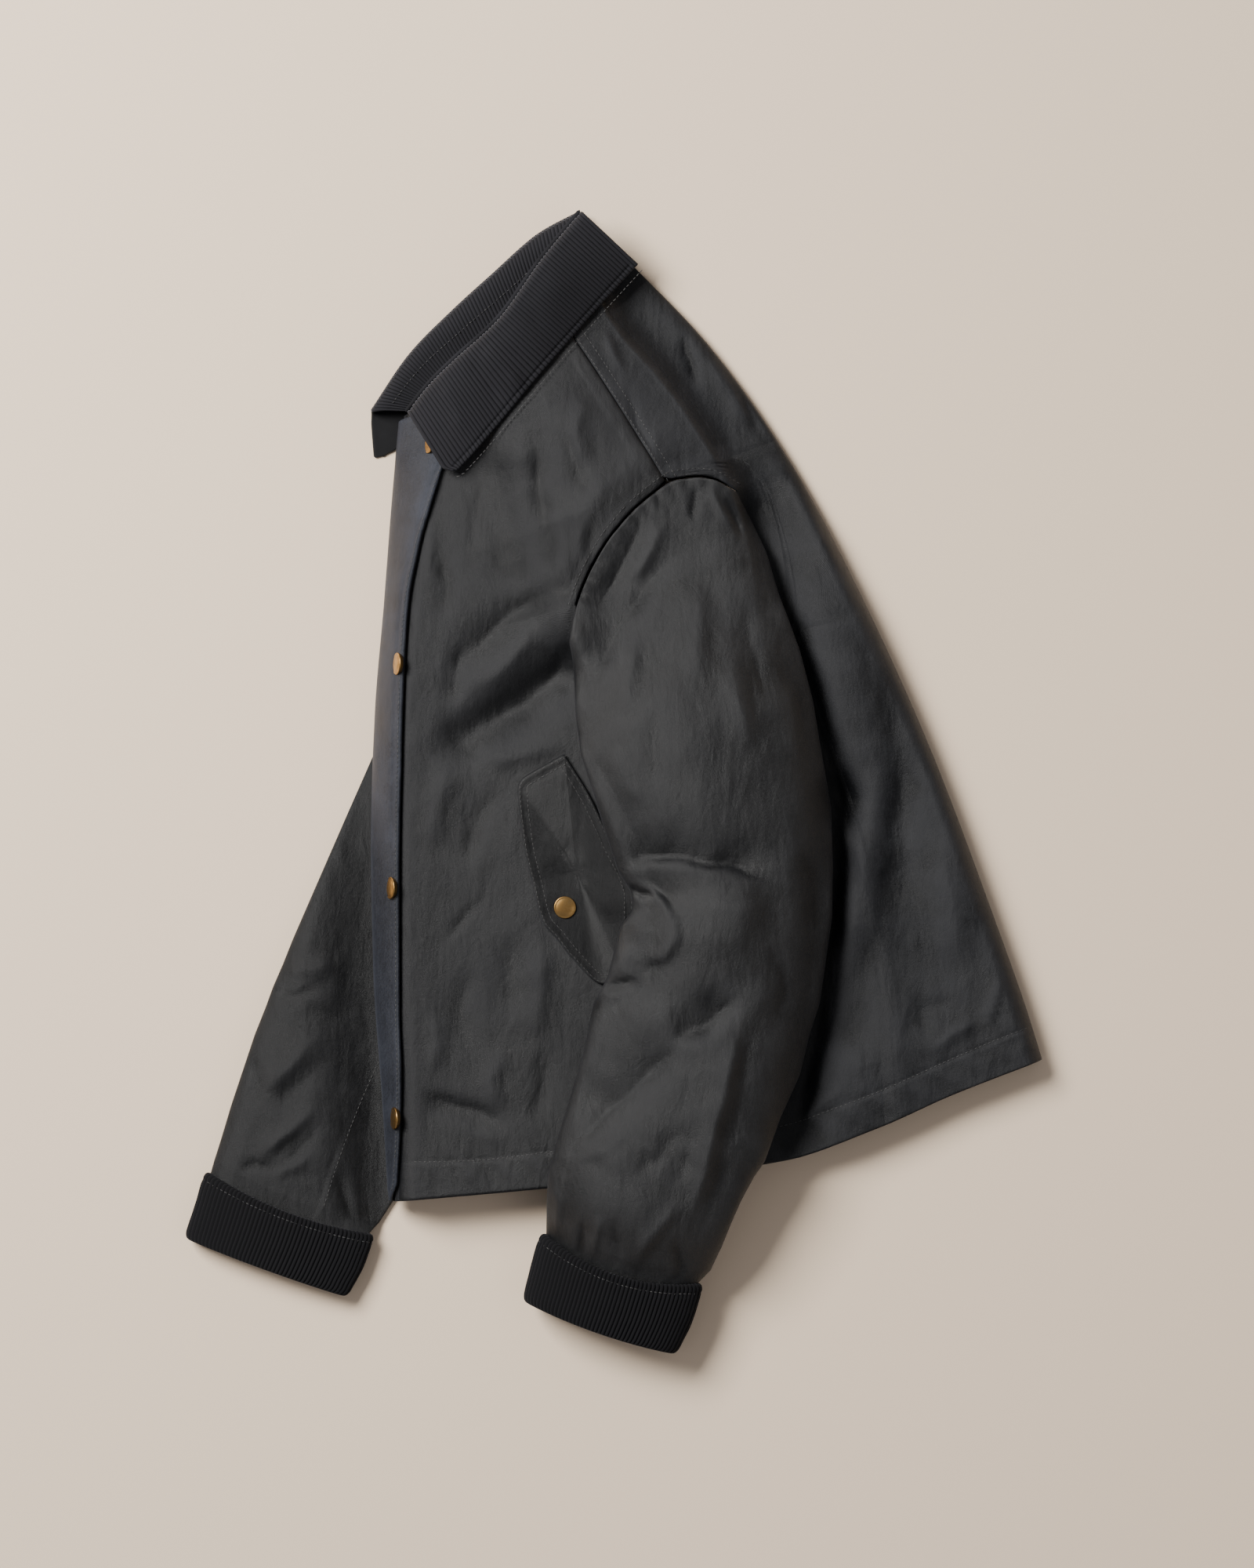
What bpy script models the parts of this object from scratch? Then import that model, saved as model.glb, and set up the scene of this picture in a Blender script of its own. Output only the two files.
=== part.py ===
# Waxed cotton jacket, closed and laid on its right side: the back folded down its
# centre, the left sleeve across the body and the right sleeve under it.
# Lengths below are in millimetres; objects are written in metres, +Z up, floor at z = 0.

import math

import bpy
import bmesh
import numpy as np

OBJECT_NAME = "waxed_cotton_jacket"
MM = 0.001

CLOTH = 1.8            # waxed cotton wall
SLEEVE_CLOTH = 1.6     # sleeve wall
FLAP_CLOTH = 2.2       # storm flap, two layers
POCKET_CLOTH = 2.6     # pocket flap, two layers and a seam edge
CORD_WALL = 2.2        # corduroy on its under-collar or cuff facing
SEAM = 0.35            # gap at seams and under laid pieces
FLAP_CLEAR = 0.9       # storm flap off the underlap band
SLIDE = 1.6            # air between stacked layers

FOLD_TURN = 6.0        # height of the fold lines above the lower layer
FRONT_TURN_W = 9.0     # plan width of the lower turn at the front fold
BACK_ROUND_W = 17.0    # plan width of the rounded back fold
SLEEVE_LIFT = 7.6      # lower layer over the right sleeve
LEAF_LIFT = 4.6        # lower layer over the right collar leaf
LIFT_RAMP = 22.0       # plan width of the slope beside a lifted stretch
SHOULDER_STEP = 13.0   # fall from the shoulder to the back beside it
STEP_WIDTH = 16.0
NECK_HOLLOW = 14.0      # plan depth of the curved neck seam

WALE = 2.8             # corduroy, rib to rib
WALE_DEPTH = 0.7

# Body tube, a row for each section from neck to hem.
# row, front_x, front_y, back_x, back_y: plan ends of the section at the two folds
# edge: plan width of the steep front edge; front_h, mid_h, back_h: heights of the top layer
BODY = (
    # row front_x front_y  back_x  back_y edge front_h mid_h back_h
    (0, -142.3, 248.6, 3.0, 361.0, 36.0, 27.0, 37.0, 24.0),
    (1, -147.6, 190.3, 64.9, 296.3, 29.0, 36.0, 47.0, 27.0),
    (2, -152.9, 121.4, 120.6, 216.8, 20.0, 40.0, 46.0, 28.0),
    (3, -159.3, 41.9, 170.9, 121.4, 19.0, 40.0, 41.0, 27.0),
    (4, -161.4, -42.9, 216.0, 20.7, 20.0, 38.0, 38.0, 26.0),
    (5, -159.8, -127.7, 254.1, -80.0, 19.0, 36.0, 34.0, 25.0),
    (6, -154.0, -212.5, 279.6, -151.6, 16.0, 33.0, 30.0, 24.0),
    (7, -149.7, -283.0, 290.7, -187.1, 12.0, 30.0, 27.0, 22.0),
)

# Drop of the hem below its straight section, by share of the way from front to back.
HEM_BOW = (
    # share drop
    (0.0, 0.0),
    (0.24, 13.6),
    (0.42, 22.4),
    (0.61, 29.8),
    (0.75, 21.5),
    (0.86, 10.5),
    (1.0, 0.0),
)

# Largest folds of the body's top layer: start, end, half width and height (minus is a trough).
BODY_FOLDS = (
    # x0 y0 x1 y1 width height
    (-60.0, 217.0, -33.0, 101.0, 17.0, 3.5),
    (-84.0, 206.0, -72.0, 150.0, 18.0, -4.0),
    (-38.0, 129.0, -97.0, 87.0, 15.0, -3.0),
    (-36.0, 70.0, -99.0, 31.0, 20.0, -7.0),
    (92.0, 178.0, 150.0, -12.0, 20.0, -7.0),
    (150.0, -12.0, 121.0, -232.0, 20.0, -7.0),
    (171.0, -12.0, 170.0, -94.0, 18.0, 3.0),
    (193.0, -4.0, 160.0, -168.0, 18.0, -4.0),
)

# Line along which the shoulder stands above the back.
SHOULDER_EDGE = (
    # x y
    (-4.0, 319.0),
    (9.3, 300.5),
    (30.5, 277.7),
    (49.0, 253.9),
    (67.6, 224.7),
    (84.0, 198.0),
    (96.0, 150.0),
    (100.0, 100.0),
)

# Armhole, on the chord from its front corner to its back corner.
# share of the chord, then the bow of the shoulder side above it and of the underarm side below it
ARM_FRONT = (-25.2, 119.8)
ARM_BACK = (84.0, 197.7)
ARM_OVER = (
    # share bow
    (0.0, 0.0),
    (0.08, 7.5),
    (0.19, 16.0),
    (0.36, 25.6),
    (0.57, 31.6),
    (0.73, 32.6),
    (0.86, 25.5),
    (0.94, 16.0),
    (1.0, 0.0),
)
ARM_UNDER = (
    # share bow
    (0.0, 0.0),
    (0.02, -26.0),
    (0.06, -48.0),
    (0.15, -63.0),
    (0.3, -66.0),
    (0.51, -60.0),
    (0.7, -46.0),
    (0.85, -29.0),
    (0.95, -13.0),
    (1.0, 0.0),
)
ARM_TOP_SHARE = 0.73       # where the shoulder seam meets the armhole
ARM_LOW_SHARE = 0.15       # where the side seam meets it

# Seams on both layers of the body, from the neck down.
SHOULDER_SEAM = (
    # x y
    (-46.0, 328.0),
    (-37.4, 315.9),
    (-19.9, 291.0),
    (0.8, 259.2),
    (16.0, 235.3),
    (29.0, 212.0),
)
SIDE_SEAM = (
    # x y
    (13.0, 72.0),
    (46.0, 0.0),
    (58.0, -60.0),
    (60.0, -130.0),
    (50.0, -200.0),
    (36.0, -290.0),
)

# Front edge on the top layer, a row for each place down the front.
# y, band_x: seam of the underlap band; flap_x: free edge of the storm flap
FRONT_EDGE = (
    # y band_x flap_x
    (252.0, -98.0, -103.0),
    (230.0, -102.0, -106.0),
    (211.5, -108.9, -115.0),
    (190.3, -115.5, -121.1),
    (158.5, -124.5, -129.3),
    (121.4, -131.0, -136.2),
    (79.0, -134.0, -139.1),
    (26.0, -135.8, -141.2),
    (-53.5, -136.6, -142.9),
    (-154.2, -136.5, -143.0),
    (-196.6, -136.2, -141.5),
    (-244.3, -135.6, -142.8),
    (-283.0, -135.4, -144.8),
)

# Left sleeve, a row for each section from armhole to cuff.
# front_x, front_y, back_x, back_y: plan ends; bow: plan drop of its middle
# armhole: share of the armhole's shoulder arc left in it; thick: height of the tube
# under: height of its underside where it has left the body; off: 0 on the body, 1 off it
# under_arc: share of the armhole's underarm arc left in it
SLEEVE_LEFT = (
    # row front_x front_y back_x back_y bow armhole thick under off under_arc
    (0.0, -24.4, 119.6, 83.2, 196.6, 0.0, 0.97, 6.0, 30.0, 0.0, 0.97),
    (0.35, -27.5, 108.0, 94.0, 176.0, 0.0, 0.78, 11.0, 30.0, 0.0, 0.98),
    (1.0, -29.4, 92.2, 107.3, 146.8, 0.0, 0.42, 19.0, 30.0, 0.0, 0.85),
    (2.0, -25.2, 49.8, 126.9, 88.0, 0.0, 0.1, 28.0, 30.0, 0.0, 0.5),
    (3.0, -17.2, 10.1, 141.8, 18.0, 0.0, 0.0, 33.0, 30.0, 0.0, 0.15),
    (4.0, -2.4, -35.0, 147.6, -32.3, 0.0, 0.0, 34.0, 30.0, 0.0, 0.0),
    (5.0, 12.5, -74.7, 147.1, -80.0, 0.0, 0.0, 33.0, 30.0, 0.0, 0.0),
    (6.0, 0.3, -114.5, 139.1, -141.0, 0.0, 0.0, 33.0, 30.0, 0.0, 0.0),
    (7.0, -14.6, -159.5, 125.9, -191.3, 2.0, 0.0, 33.0, 28.0, 0.0, 0.0),
    (8.0, -29.4, -207.2, 110.0, -233.7, 4.0, 0.0, 32.0, 27.0, 0.0, 0.0),
    (9.0, -40.5, -254.9, 88.8, -284.1, 8.0, 0.0, 31.0, 26.0, 0.35, 0.0),
    (10.0, -45.8, -303.0, 62.0, -337.0, 11.0, 0.0, 31.0, 9.0, 1.0, 0.0),
)
CUFF_LEFT = (
    # row front_x front_y back_x back_y bow thick under
    (0.0, -48.6, -303.6, 60.6, -338.6, 11.0, 34.0, 7.0),
    (1.0, -55.5, -328.0, 52.5, -363.0, 9.0, 35.0, 4.5),
    (2.0, -60.6, -350.6, 41.6, -386.2, 2.8, 36.0, 2.0),
)

# Right sleeve, under the body and out past its front fold, and its cuff.
SLEEVE_RIGHT = (
    # row front_x front_y back_x back_y bow armhole under_arc
    (0.0, -24.4, 119.6, 83.2, 196.6, 0.0, 0.97, 0.97),
    (0.35, -34.0, 106.0, 88.0, 172.0, 0.0, 0.7, 1.03),
    (1.0, -56.0, 88.0, 86.0, 124.0, 0.0, 0.34, 0.9),
    (2.0, -98.0, 64.0, 62.0, 58.0, 0.0, 0.06, 0.6),
    (3.0, -136.0, 40.0, 22.0, -8.0, 0.0, 0.0, 0.22),
    (4.0, -163.0, 12.0, -8.0, -54.0, 0.0, 0.0, 0.0),
    (5.0, -183.0, -27.0, -32.0, -98.0, 0.0, 0.0, 0.0),
    (6.0, -203.8, -74.7, -58.0, -143.0, 0.0, 0.0, 0.0),
    (7.0, -223.9, -122.4, -83.0, -186.0, 0.0, 0.0, 0.0),
    (8.0, -243.0, -170.0, -107.0, -226.0, 1.0, 0.0, 0.0),
    (9.0, -258.9, -217.8, -134.0, -262.0, 4.0, 0.0, 0.0),
    (10.0, -272.5, -262.0, -163.0, -304.0, 6.0, 0.0, 0.0),
)
CUFF_RIGHT = (
    # row front_x front_y back_x back_y bow thick under
    (0.0, -276.0, -262.8, -162.0, -306.0, 6.0, 19.0, 0.0),
    (1.0, -282.8, -286.0, -170.5, -327.5, 3.5, 19.5, 0.0),
    (2.0, -289.8, -308.5, -181.0, -348.0, 1.0, 20.0, 0.0),
)
SLEEVE_RIGHT_THICK = 17.5     # past the front fold
CUFF_LAP = 7.0                # sleeve end inside the cuff

# Collar, a row for each section from the centre back to the front.
# Left half: roll line, outer edge of the fall and its least height, place on the neck seam
# (share of the way to the back) and how far above the body it is sewn
COLLAR_LEFT = (
    # row roll_x roll_y roll_z edge_x edge_y edge_z neck lap
    (0.0, -21.6, 386.5, 36.0, 17.2, 350.4, 27.0, 0.85, 4.6),
    (1.0, -46.0, 353.5, 47.0, -10.0, 320.5, 30.0, 0.71, 3.8),
    (2.0, -75.0, 312.5, 51.0, -43.7, 281.4, 30.0, 0.55, 3.4),
    (3.0, -104.0, 286.0, 50.0, -75.5, 243.3, 30.0, 0.38, 4.5),
    (4.0, -124.0, 269.0, 45.0, -92.0, 224.0, 30.0, 0.22, 9.0),
    (5.0, -137.4, 253.5, 38.0, -107.3, 206.2, 30.0, 0.08, 9.0),
)
# Right half: roll line along the outline, place on the neck seam, and how far its leaf
# reaches under the body
COLLAR_RIGHT = (
    # row roll_x roll_y roll_z neck leaf_x leaf_y
    (0.0, -23.5, 387.5, 20.0, 0.86, 12.0, 336.0),
    (1.0, -50.1, 373.2, 19.0, 0.72, -8.0, 306.0),
    (2.0, -83.5, 344.2, 18.0, 0.55, -42.0, 279.0),
    (3.0, -110.5, 319.6, 17.0, 0.38, -76.0, 252.0),
    (4.0, -138.5, 291.0, 16.0, 0.22, -110.0, 236.0),
    (5.0, -161.4, 252.2, 15.0, 0.1, -162.5, 222.0),
)
COLLAR_ROLL = 3.2        # radius of the left half's turn

POCKET_FLAP = (
    # x y, round the flap from its upper corner
    (-33.1, 19.6),
    (-59.6, 3.7),
    (-64.4, -3.0),
    (-61.2, -37.6),
    (-54.3, -69.4),
    (-48.0, -93.3),
    (-38.4, -104.9),
    (-27.8, -118.2),
    (-9.3, -133.0),
    (2.0, -126.0),
    (7.0, -100.0),
    (8.0, -78.0),
    (-4.0, -37.6),
    (-17.2, -5.8),
)

SNAPS = (
    # name row share of the flap's width
    ("snap_1", 0.54, 0.8),
    ("snap_2", 2.58, 0.82),
    ("snap_3", 4.35, 0.82),
    ("snap_4", 6.2, 0.82),
)
POCKET_SNAP = (-32.6, -83.7)
SNAP_PROFILE = (
    # radius height
    (7.5, 0.0),
    (7.5, 0.9),
    (6.6, 1.7),
    (3.6, 2.3),
)

COLORS = {
    # name: red, green, blue, roughness, metal
    "waxed_cotton": (0.045, 0.046, 0.050, 0.55, 0.0),
    "corduroy": (0.012, 0.012, 0.014, 0.9, 0.0),
    "brass": (0.56, 0.38, 0.18, 0.32, 1.0),
}


def through(at, table, column, key=0):
    """Smooth line through a column of a table, without overshoot."""
    knots = np.array([row[key] for row in table], float)
    values = np.array([row[column] for row in table], float)
    at = np.asarray(at, float)
    if knots[0] > knots[-1]:
        knots = knots[::-1]
        values = values[::-1]
    step = np.diff(knots)
    rise = np.diff(values) / step
    slope = np.zeros(len(knots))
    same = rise[:-1] * rise[1:] > 0
    total = np.where(same, rise[:-1] + rise[1:], 1.0)
    slope[1:-1] = np.where(same, 2 * rise[:-1] * rise[1:] / total, 0.0)
    slope[0] = rise[0]
    slope[-1] = rise[-1]
    i = np.clip(np.searchsorted(knots, at, side="right") - 1, 0, len(step) - 1)
    t = np.clip((at - knots[i]) / step[i], 0.0, 1.0)
    h = step[i]
    return (
        values[i] * (1 + 2 * t) * (1 - t) ** 2
        + slope[i] * h * t * (1 - t) ** 2
        + values[i + 1] * t * t * (3 - 2 * t)
        + slope[i + 1] * h * t * t * (t - 1)
    )


def ease(t):
    """0 to 1 with level ends."""
    t = np.clip(t, 0.0, 1.0)
    return t * t * (3 - 2 * t)


def quarter(t, power=2.0):
    """Rise of a rounded edge: 0 at t = 0, upright there, level at t = 1."""
    t = np.clip(t, 0.0, 1.0)
    return (1 - (1 - t) ** power) ** (1 / power)


def segment_distance(x, y, x0, y0, x1, y1):
    """Distance from points to a segment, and the share along it."""
    dx = x1 - x0
    dy = y1 - y0
    t = np.clip(((x - x0) * dx + (y - y0) * dy) / (dx * dx + dy * dy), 0.0, 1.0)
    return np.hypot(x - x0 - t * dx, y - y0 - t * dy), t


def outside(x, y, ring):
    """Distance outside a closed outline, 0 inside it."""
    x = np.asarray(x, float)
    y = np.asarray(y, float)
    best = np.full(x.shape, 1e9)
    inside = np.zeros(x.shape, bool)
    for (x0, y0), (x1, y1) in zip(ring, ring[1:] + ring[:1]):
        best = np.minimum(best, segment_distance(x, y, x0, y0, x1, y1)[0])
        if y0 != y1:
            crosses = (y0 > y) != (y1 > y)
            inside ^= crosses & (x < (x1 - x0) * (y - y0) / (y1 - y0) + x0)
    return np.where(inside, 0.0, best)


# ---- body tube -------------------------------------------------------------------------


def body_width(row):
    return np.hypot(
        through(row, BODY, 3) - through(row, BODY, 1),
        through(row, BODY, 4) - through(row, BODY, 2),
    )


def hem_bow(share, row):
    """Plan drop of a section below its straight line: the hem's bow and the neck's hollow."""
    neck = NECK_HOLLOW * 4 * share * (1 - share) * ease(1 - row / 1.2)
    return through(share, HEM_BOW, 1) * ease((row - 4.2) / 2.8) + neck


def body_plan(s, row):
    """Plan point at s from the front fold along a section."""
    share = s / body_width(row)
    x = through(row, BODY, 1) * (1 - share) + through(row, BODY, 3) * share
    y = through(row, BODY, 2) * (1 - share) + through(row, BODY, 4) * share
    return x, y - hem_bow(share, row)


GRID_ROWS = np.linspace(-1.0, 8.5, 381)


def body_find(x, y):
    """Section row, and distance along it from the front fold, of plan points."""
    x = np.atleast_1d(np.asarray(x, float))
    y = np.atleast_1d(np.asarray(y, float))
    ends = np.clip(GRID_ROWS, 0, 7)
    past = GRID_ROWS - ends
    fx = through(ends, BODY, 1)
    fy = through(ends, BODY, 2) - past * 70
    bx = through(ends, BODY, 3) + past * 45
    by = through(ends, BODY, 4) - past * 55
    row = np.zeros(x.shape)
    s = np.zeros(x.shape)
    bow = np.zeros(x.shape)
    width = np.hypot(bx - fx, by - fy)
    for _ in range(5):
        yy = y + bow
        side = (bx - fx) * (yy[..., None] - fy) - (by - fy) * (x[..., None] - fx)
        side = side / width
        above = side > 0
        i = np.clip(np.argmax(above, axis=-1), 1, len(GRID_ROWS) - 1)
        lo = np.take_along_axis(side, (i - 1)[..., None], -1)[..., 0]
        hi = np.take_along_axis(side, i[..., None], -1)[..., 0]
        t = np.clip(-lo / (hi - lo), 0, 1)
        row = GRID_ROWS[i - 1] * (1 - t) + GRID_ROWS[i] * t
        sx = np.interp(row, GRID_ROWS, fx)
        sy = np.interp(row, GRID_ROWS, fy)
        ex = np.interp(row, GRID_ROWS, bx)
        ey = np.interp(row, GRID_ROWS, by)
        w = np.hypot(ex - sx, ey - sy)
        s = ((x - sx) * (ex - sx) + (yy - sy) * (ey - sy)) / w
        bow = hem_bow(np.clip(s / w, 0, 1), np.clip(row, 0, 7))
    return np.clip(row, 0, 7), s


def arm_point(share, table):
    """Plan point of an armhole arc."""
    bow = through(share, table, 1)
    dx = ARM_BACK[0] - ARM_FRONT[0]
    dy = ARM_BACK[1] - ARM_FRONT[1]
    length = math.hypot(dx, dy)
    return (
        ARM_FRONT[0] + dx * share - dy / length * bow,
        ARM_FRONT[1] + dy * share + dx / length * bow,
    )


def outline(table, first, second, third, fourth):
    """Plan outline of a sleeve's footprint past the armhole's underarm side."""
    under = [arm_point(f, ARM_UNDER) for f in np.linspace(0.03, 0.97, 12)]
    left = [(r[first], r[second]) for r in table]
    right = [(r[third], r[fourth]) for r in table]
    return [tuple(map(float, p)) for p in under + right + left[::-1]]


ARMHOLE = [arm_point(f, ARM_OVER) for f in np.linspace(0, 1, 21)]
ARMHOLE += [arm_point(f, ARM_UNDER) for f in np.linspace(0.99, 0.01, 24)]
ARMHOLE = [(float(x), float(y)) for x, y in ARMHOLE]
RIGHT_FOOT = outline(SLEEVE_RIGHT, 1, 2, 3, 4)
LEAF_FOOT = [(r[1], r[2]) for r in COLLAR_RIGHT] + [(r[5], r[6]) for r in COLLAR_RIGHT][::-1]


def low_height(x, y):
    """Underside of the body: on the floor, or over the right sleeve and collar leaf."""
    sleeve = SLEEVE_LIFT * ease(1 - outside(x, y, RIGHT_FOOT) / LIFT_RAMP)
    leaf = LEAF_LIFT * ease(1 - outside(x, y, LEAF_FOOT) / LIFT_RAMP)
    return np.maximum(sleeve, leaf)


def fold_height(x, y):
    """Sum of the large folds, each a rounded bar that fades at its ends."""
    total = np.zeros(np.shape(x))
    for x0, y0, x1, y1, width, height in BODY_FOLDS:
        far, share = segment_distance(x, y, x0, y0, x1, y1)
        total = total + height * np.exp(-(far / width) ** 2 * 1.6)
    return total


def step_height(x, y):
    """Shoulder side stands over the back: height taken off past the shoulder edge."""
    best = np.full(np.shape(x), 1e9)
    side = np.zeros(np.shape(x))
    reach = np.zeros(np.shape(x))
    points = SHOULDER_EDGE
    total = len(points) - 1
    for k in range(total):
        (x0, y0), (x1, y1) = points[k], points[k + 1]
        far, share = segment_distance(x, y, x0, y0, x1, y1)
        nearer = far < best
        cross = (x1 - x0) * (y - y0) - (y1 - y0) * (x - x0)
        best = np.where(nearer, far, best)
        side = np.where(nearer, np.sign(cross), side)
        reach = np.where(nearer, (k + share) / total, reach)
    signed = best * side
    fade = ease((1.0 - reach) * 2.2)
    return SHOULDER_STEP * fade * ease(0.5 + signed / STEP_WIDTH)


def top_height(s, row):
    """Outer surface of the body's top layer."""
    width = body_width(row)
    s = np.clip(s, 0, width)
    share = s / width
    x, y = body_plan(s, row)
    fx, fy = body_plan(np.zeros_like(s), row)
    bx, by = body_plan(width, row)
    turn = FOLD_TURN + low_height(fx, fy) * (1 - ease(share * 2)) + low_height(bx, by) * ease(share * 2 - 1)
    edge = through(row, BODY, 5) + 4
    front_h = through(row, BODY, 6)
    mid_h = through(row, BODY, 7)
    back_h = through(row, BODY, 8)
    near = ease((s - edge) / (0.42 * width - edge))
    far = ease((share - 0.5) / 0.4)
    height = front_h * (1 - near) + mid_h * near
    height = height * (1 - far) + back_h * far
    height = height + fold_height(x, y) * ease(s / edge - 0.4) - step_height(x, y)
    rise = quarter(s / edge, 1.55) * quarter((width - s) / BACK_ROUND_W)
    return turn + (height - turn) * rise


def bottom_height(s, row):
    """Outer surface of the body's lower layer."""
    width = body_width(row)
    s = np.clip(s, 0, width)
    x, y = body_plan(s, row)
    low = low_height(x, y)
    turn = (1 - quarter(s / FRONT_TURN_W)) + (1 - quarter((width - s) / (BACK_ROUND_W * 0.7)))
    return low + FOLD_TURN * turn


def body_top(x, y):
    row, s = body_find(x, y)
    return top_height(s, row).reshape(np.shape(x))


def spread(s_from, s_to, row, count, layer):
    """Distances along a section between two limits, closer together at the folds."""
    width = body_width(row)
    dense = np.linspace(0, 1, 240)
    edge = (through(row, BODY, 5) + 4) if layer == "top" else FRONT_TURN_W
    tail = BACK_ROUND_W
    s = dense * width
    weight = 1 + 7 * np.exp(-(s / edge * 1.3) ** 2) + 6 * np.exp(-((width - s) / tail * 1.5) ** 2)
    weight = weight + 5 * np.exp(-(s / 3.0) ** 2) + 5 * np.exp(-((width - s) / 3.0) ** 2)
    measure = np.concatenate([[0], np.cumsum((weight[1:] + weight[:-1]) / 2 * np.diff(s))])
    a0 = np.interp(s_from, s, measure)
    a1 = np.interp(s_to, s, measure)
    return np.interp(np.linspace(a0, a1, count), measure, s)


def seam_limits(points):
    """Section rows and distances of a seam drawn in plan, in row order."""
    xs = np.array([p[0] for p in points], float)
    ys = np.array([p[1] for p in points], float)
    row, s = body_find(xs, ys)
    order = np.argsort(row)
    return row[order], s[order]


def densify(points, count):
    """Even steps along a short plan table."""
    pts = np.array(points, float)
    far = np.concatenate([[0], np.cumsum(np.hypot(*np.diff(pts, axis=0).T))])
    at = np.linspace(0, far[-1], count)
    table = [(d, p[0], p[1]) for d, p in zip(far, pts)]
    return list(zip(through(at, table, 1), through(at, table, 2)))


def front_limit():
    """Back edge of a front: shoulder seam, armhole and side seam."""
    over = [arm_point(f, ARM_OVER) for f in np.linspace(ARM_TOP_SHARE, 0.0, 14)]
    under = [arm_point(f, ARM_UNDER) for f in np.linspace(0.004, ARM_LOW_SHARE, 10)]
    low = under[-1]
    side = densify([low] + list(SIDE_SEAM[1:]), 30)[1:]
    return seam_limits(densify(SHOULDER_SEAM[:-1] + (over[0],), 14)[:-1] + over + under + side)


def back_limit():
    """Front edge of the back: shoulder seam, armhole and side seam."""
    over = [arm_point(f, ARM_OVER) for f in np.linspace(ARM_TOP_SHARE, 1.0, 16)]
    under = [arm_point(f, ARM_UNDER) for f in np.linspace(0.996, ARM_LOW_SHARE, 24)]
    low = under[-1]
    side = densify([low] + list(SIDE_SEAM[1:]), 30)[1:]
    return seam_limits(densify(SHOULDER_SEAM[:-1] + (over[0],), 14)[:-1] + over + under + side)


# ---- meshes ----------------------------------------------------------------------------


def normals(grid, wrap=False):
    """Unit normals of a grid of points, from the lines through each point."""
    down = np.gradient(grid, axis=0)
    if wrap:
        across = (np.roll(grid, -1, axis=1) - np.roll(grid, 1, axis=1)) / 2
    else:
        across = np.gradient(grid, axis=1)
    n = np.cross(down, across)
    return n / np.linalg.norm(n, axis=2, keepdims=True)


def zipper(first, second, faces):
    """Triangles between two lines of points of any counts."""
    i = 0
    j = 0
    m = len(first) - 1
    n = len(second) - 1
    while i < m or j < n:
        if j == n or (i < m and (i + 1) * n <= (j + 1) * m):
            faces.append((first[i], first[i + 1], second[j]))
            i += 1
        else:
            faces.append((first[i], second[j + 1], second[j]))
            j += 1


def grid_faces(start, rows, cols, wrap, faces):
    for r in range(rows - 1):
        for c in range(cols if wrap else cols - 1):
            d = (c + 1) % cols
            faces.append((
                start + r * cols + c,
                start + r * cols + d,
                start + (r + 1) * cols + d,
                start + (r + 1) * cols + c,
            ))


def line(start, rows, cols, side, wrap):
    """Point numbers along one side of a grid."""
    if side == "top":
        ids = [start + c for c in range(cols)]
    elif side == "bottom":
        ids = [start + (rows - 1) * cols + c for c in range(cols)]
    elif side == "left":
        ids = [start + r * cols for r in range(rows)]
    else:
        ids = [start + r * cols + cols - 1 for r in range(rows)]
    if wrap and side in ("top", "bottom"):
        ids.append(ids[0])
    return ids


def closed_wall(name, outer, inner, kind, wrap=False):
    """Solid wall between two grids of points, closed round its edges."""
    rows_o, cols_o = outer.shape[:2]
    rows_i, cols_i = inner.shape[:2]
    start = rows_o * cols_o
    points = np.concatenate([outer.reshape(-1, 3), inner.reshape(-1, 3)])
    faces = []
    grid_faces(0, rows_o, cols_o, wrap, faces)
    inner_faces = []
    grid_faces(start, rows_i, cols_i, wrap, inner_faces)
    faces += [face[::-1] for face in inner_faces]
    sides = ("top", "bottom") if wrap else ("top", "bottom", "left", "right")
    for side in sides:
        zipper(
            line(0, rows_o, cols_o, side, wrap),
            line(start, rows_i, cols_i, side, wrap),
            faces,
        )
    return add_object(name, points, faces, kind)


def add_object(name, points, faces, kind):
    mesh = bpy.data.meshes.new(name)
    mesh.from_pydata([tuple(p) for p in np.asarray(points) * MM], [], faces)
    bm = bmesh.new()
    bm.from_mesh(mesh)
    bmesh.ops.recalc_face_normals(bm, faces=bm.faces)
    bm.to_mesh(mesh)
    bm.free()
    obj = bpy.data.objects.new(name, mesh)
    mesh.materials.append(material(name, kind))
    collection.objects.link(obj)
    return obj


def material(name, kind):
    red, green, blue, rough, metal = COLORS[kind]
    mat = bpy.data.materials.new(name + "_" + kind)
    mat.use_nodes = True
    shader = mat.node_tree.nodes["Principled BSDF"]
    shader.inputs["Base Color"].default_value = (red, green, blue, 1.0)
    shader.inputs["Roughness"].default_value = rough
    shader.inputs["Metallic"].default_value = metal
    mat.diffuse_color = (red, green, blue, 1.0)
    return mat


for old in list(bpy.data.objects):
    bpy.data.objects.remove(old, do_unlink=True)
collection = bpy.data.collections.new(OBJECT_NAME)
bpy.context.scene.collection.children.link(collection)


# ---- fronts and back -------------------------------------------------------------------


def layer_points(s, row, layer):
    x, y = body_plan(s, row)
    z = top_height(s, row) if layer == "top" else bottom_height(s, row)
    return np.stack([x, y, z], axis=-1)


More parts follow.
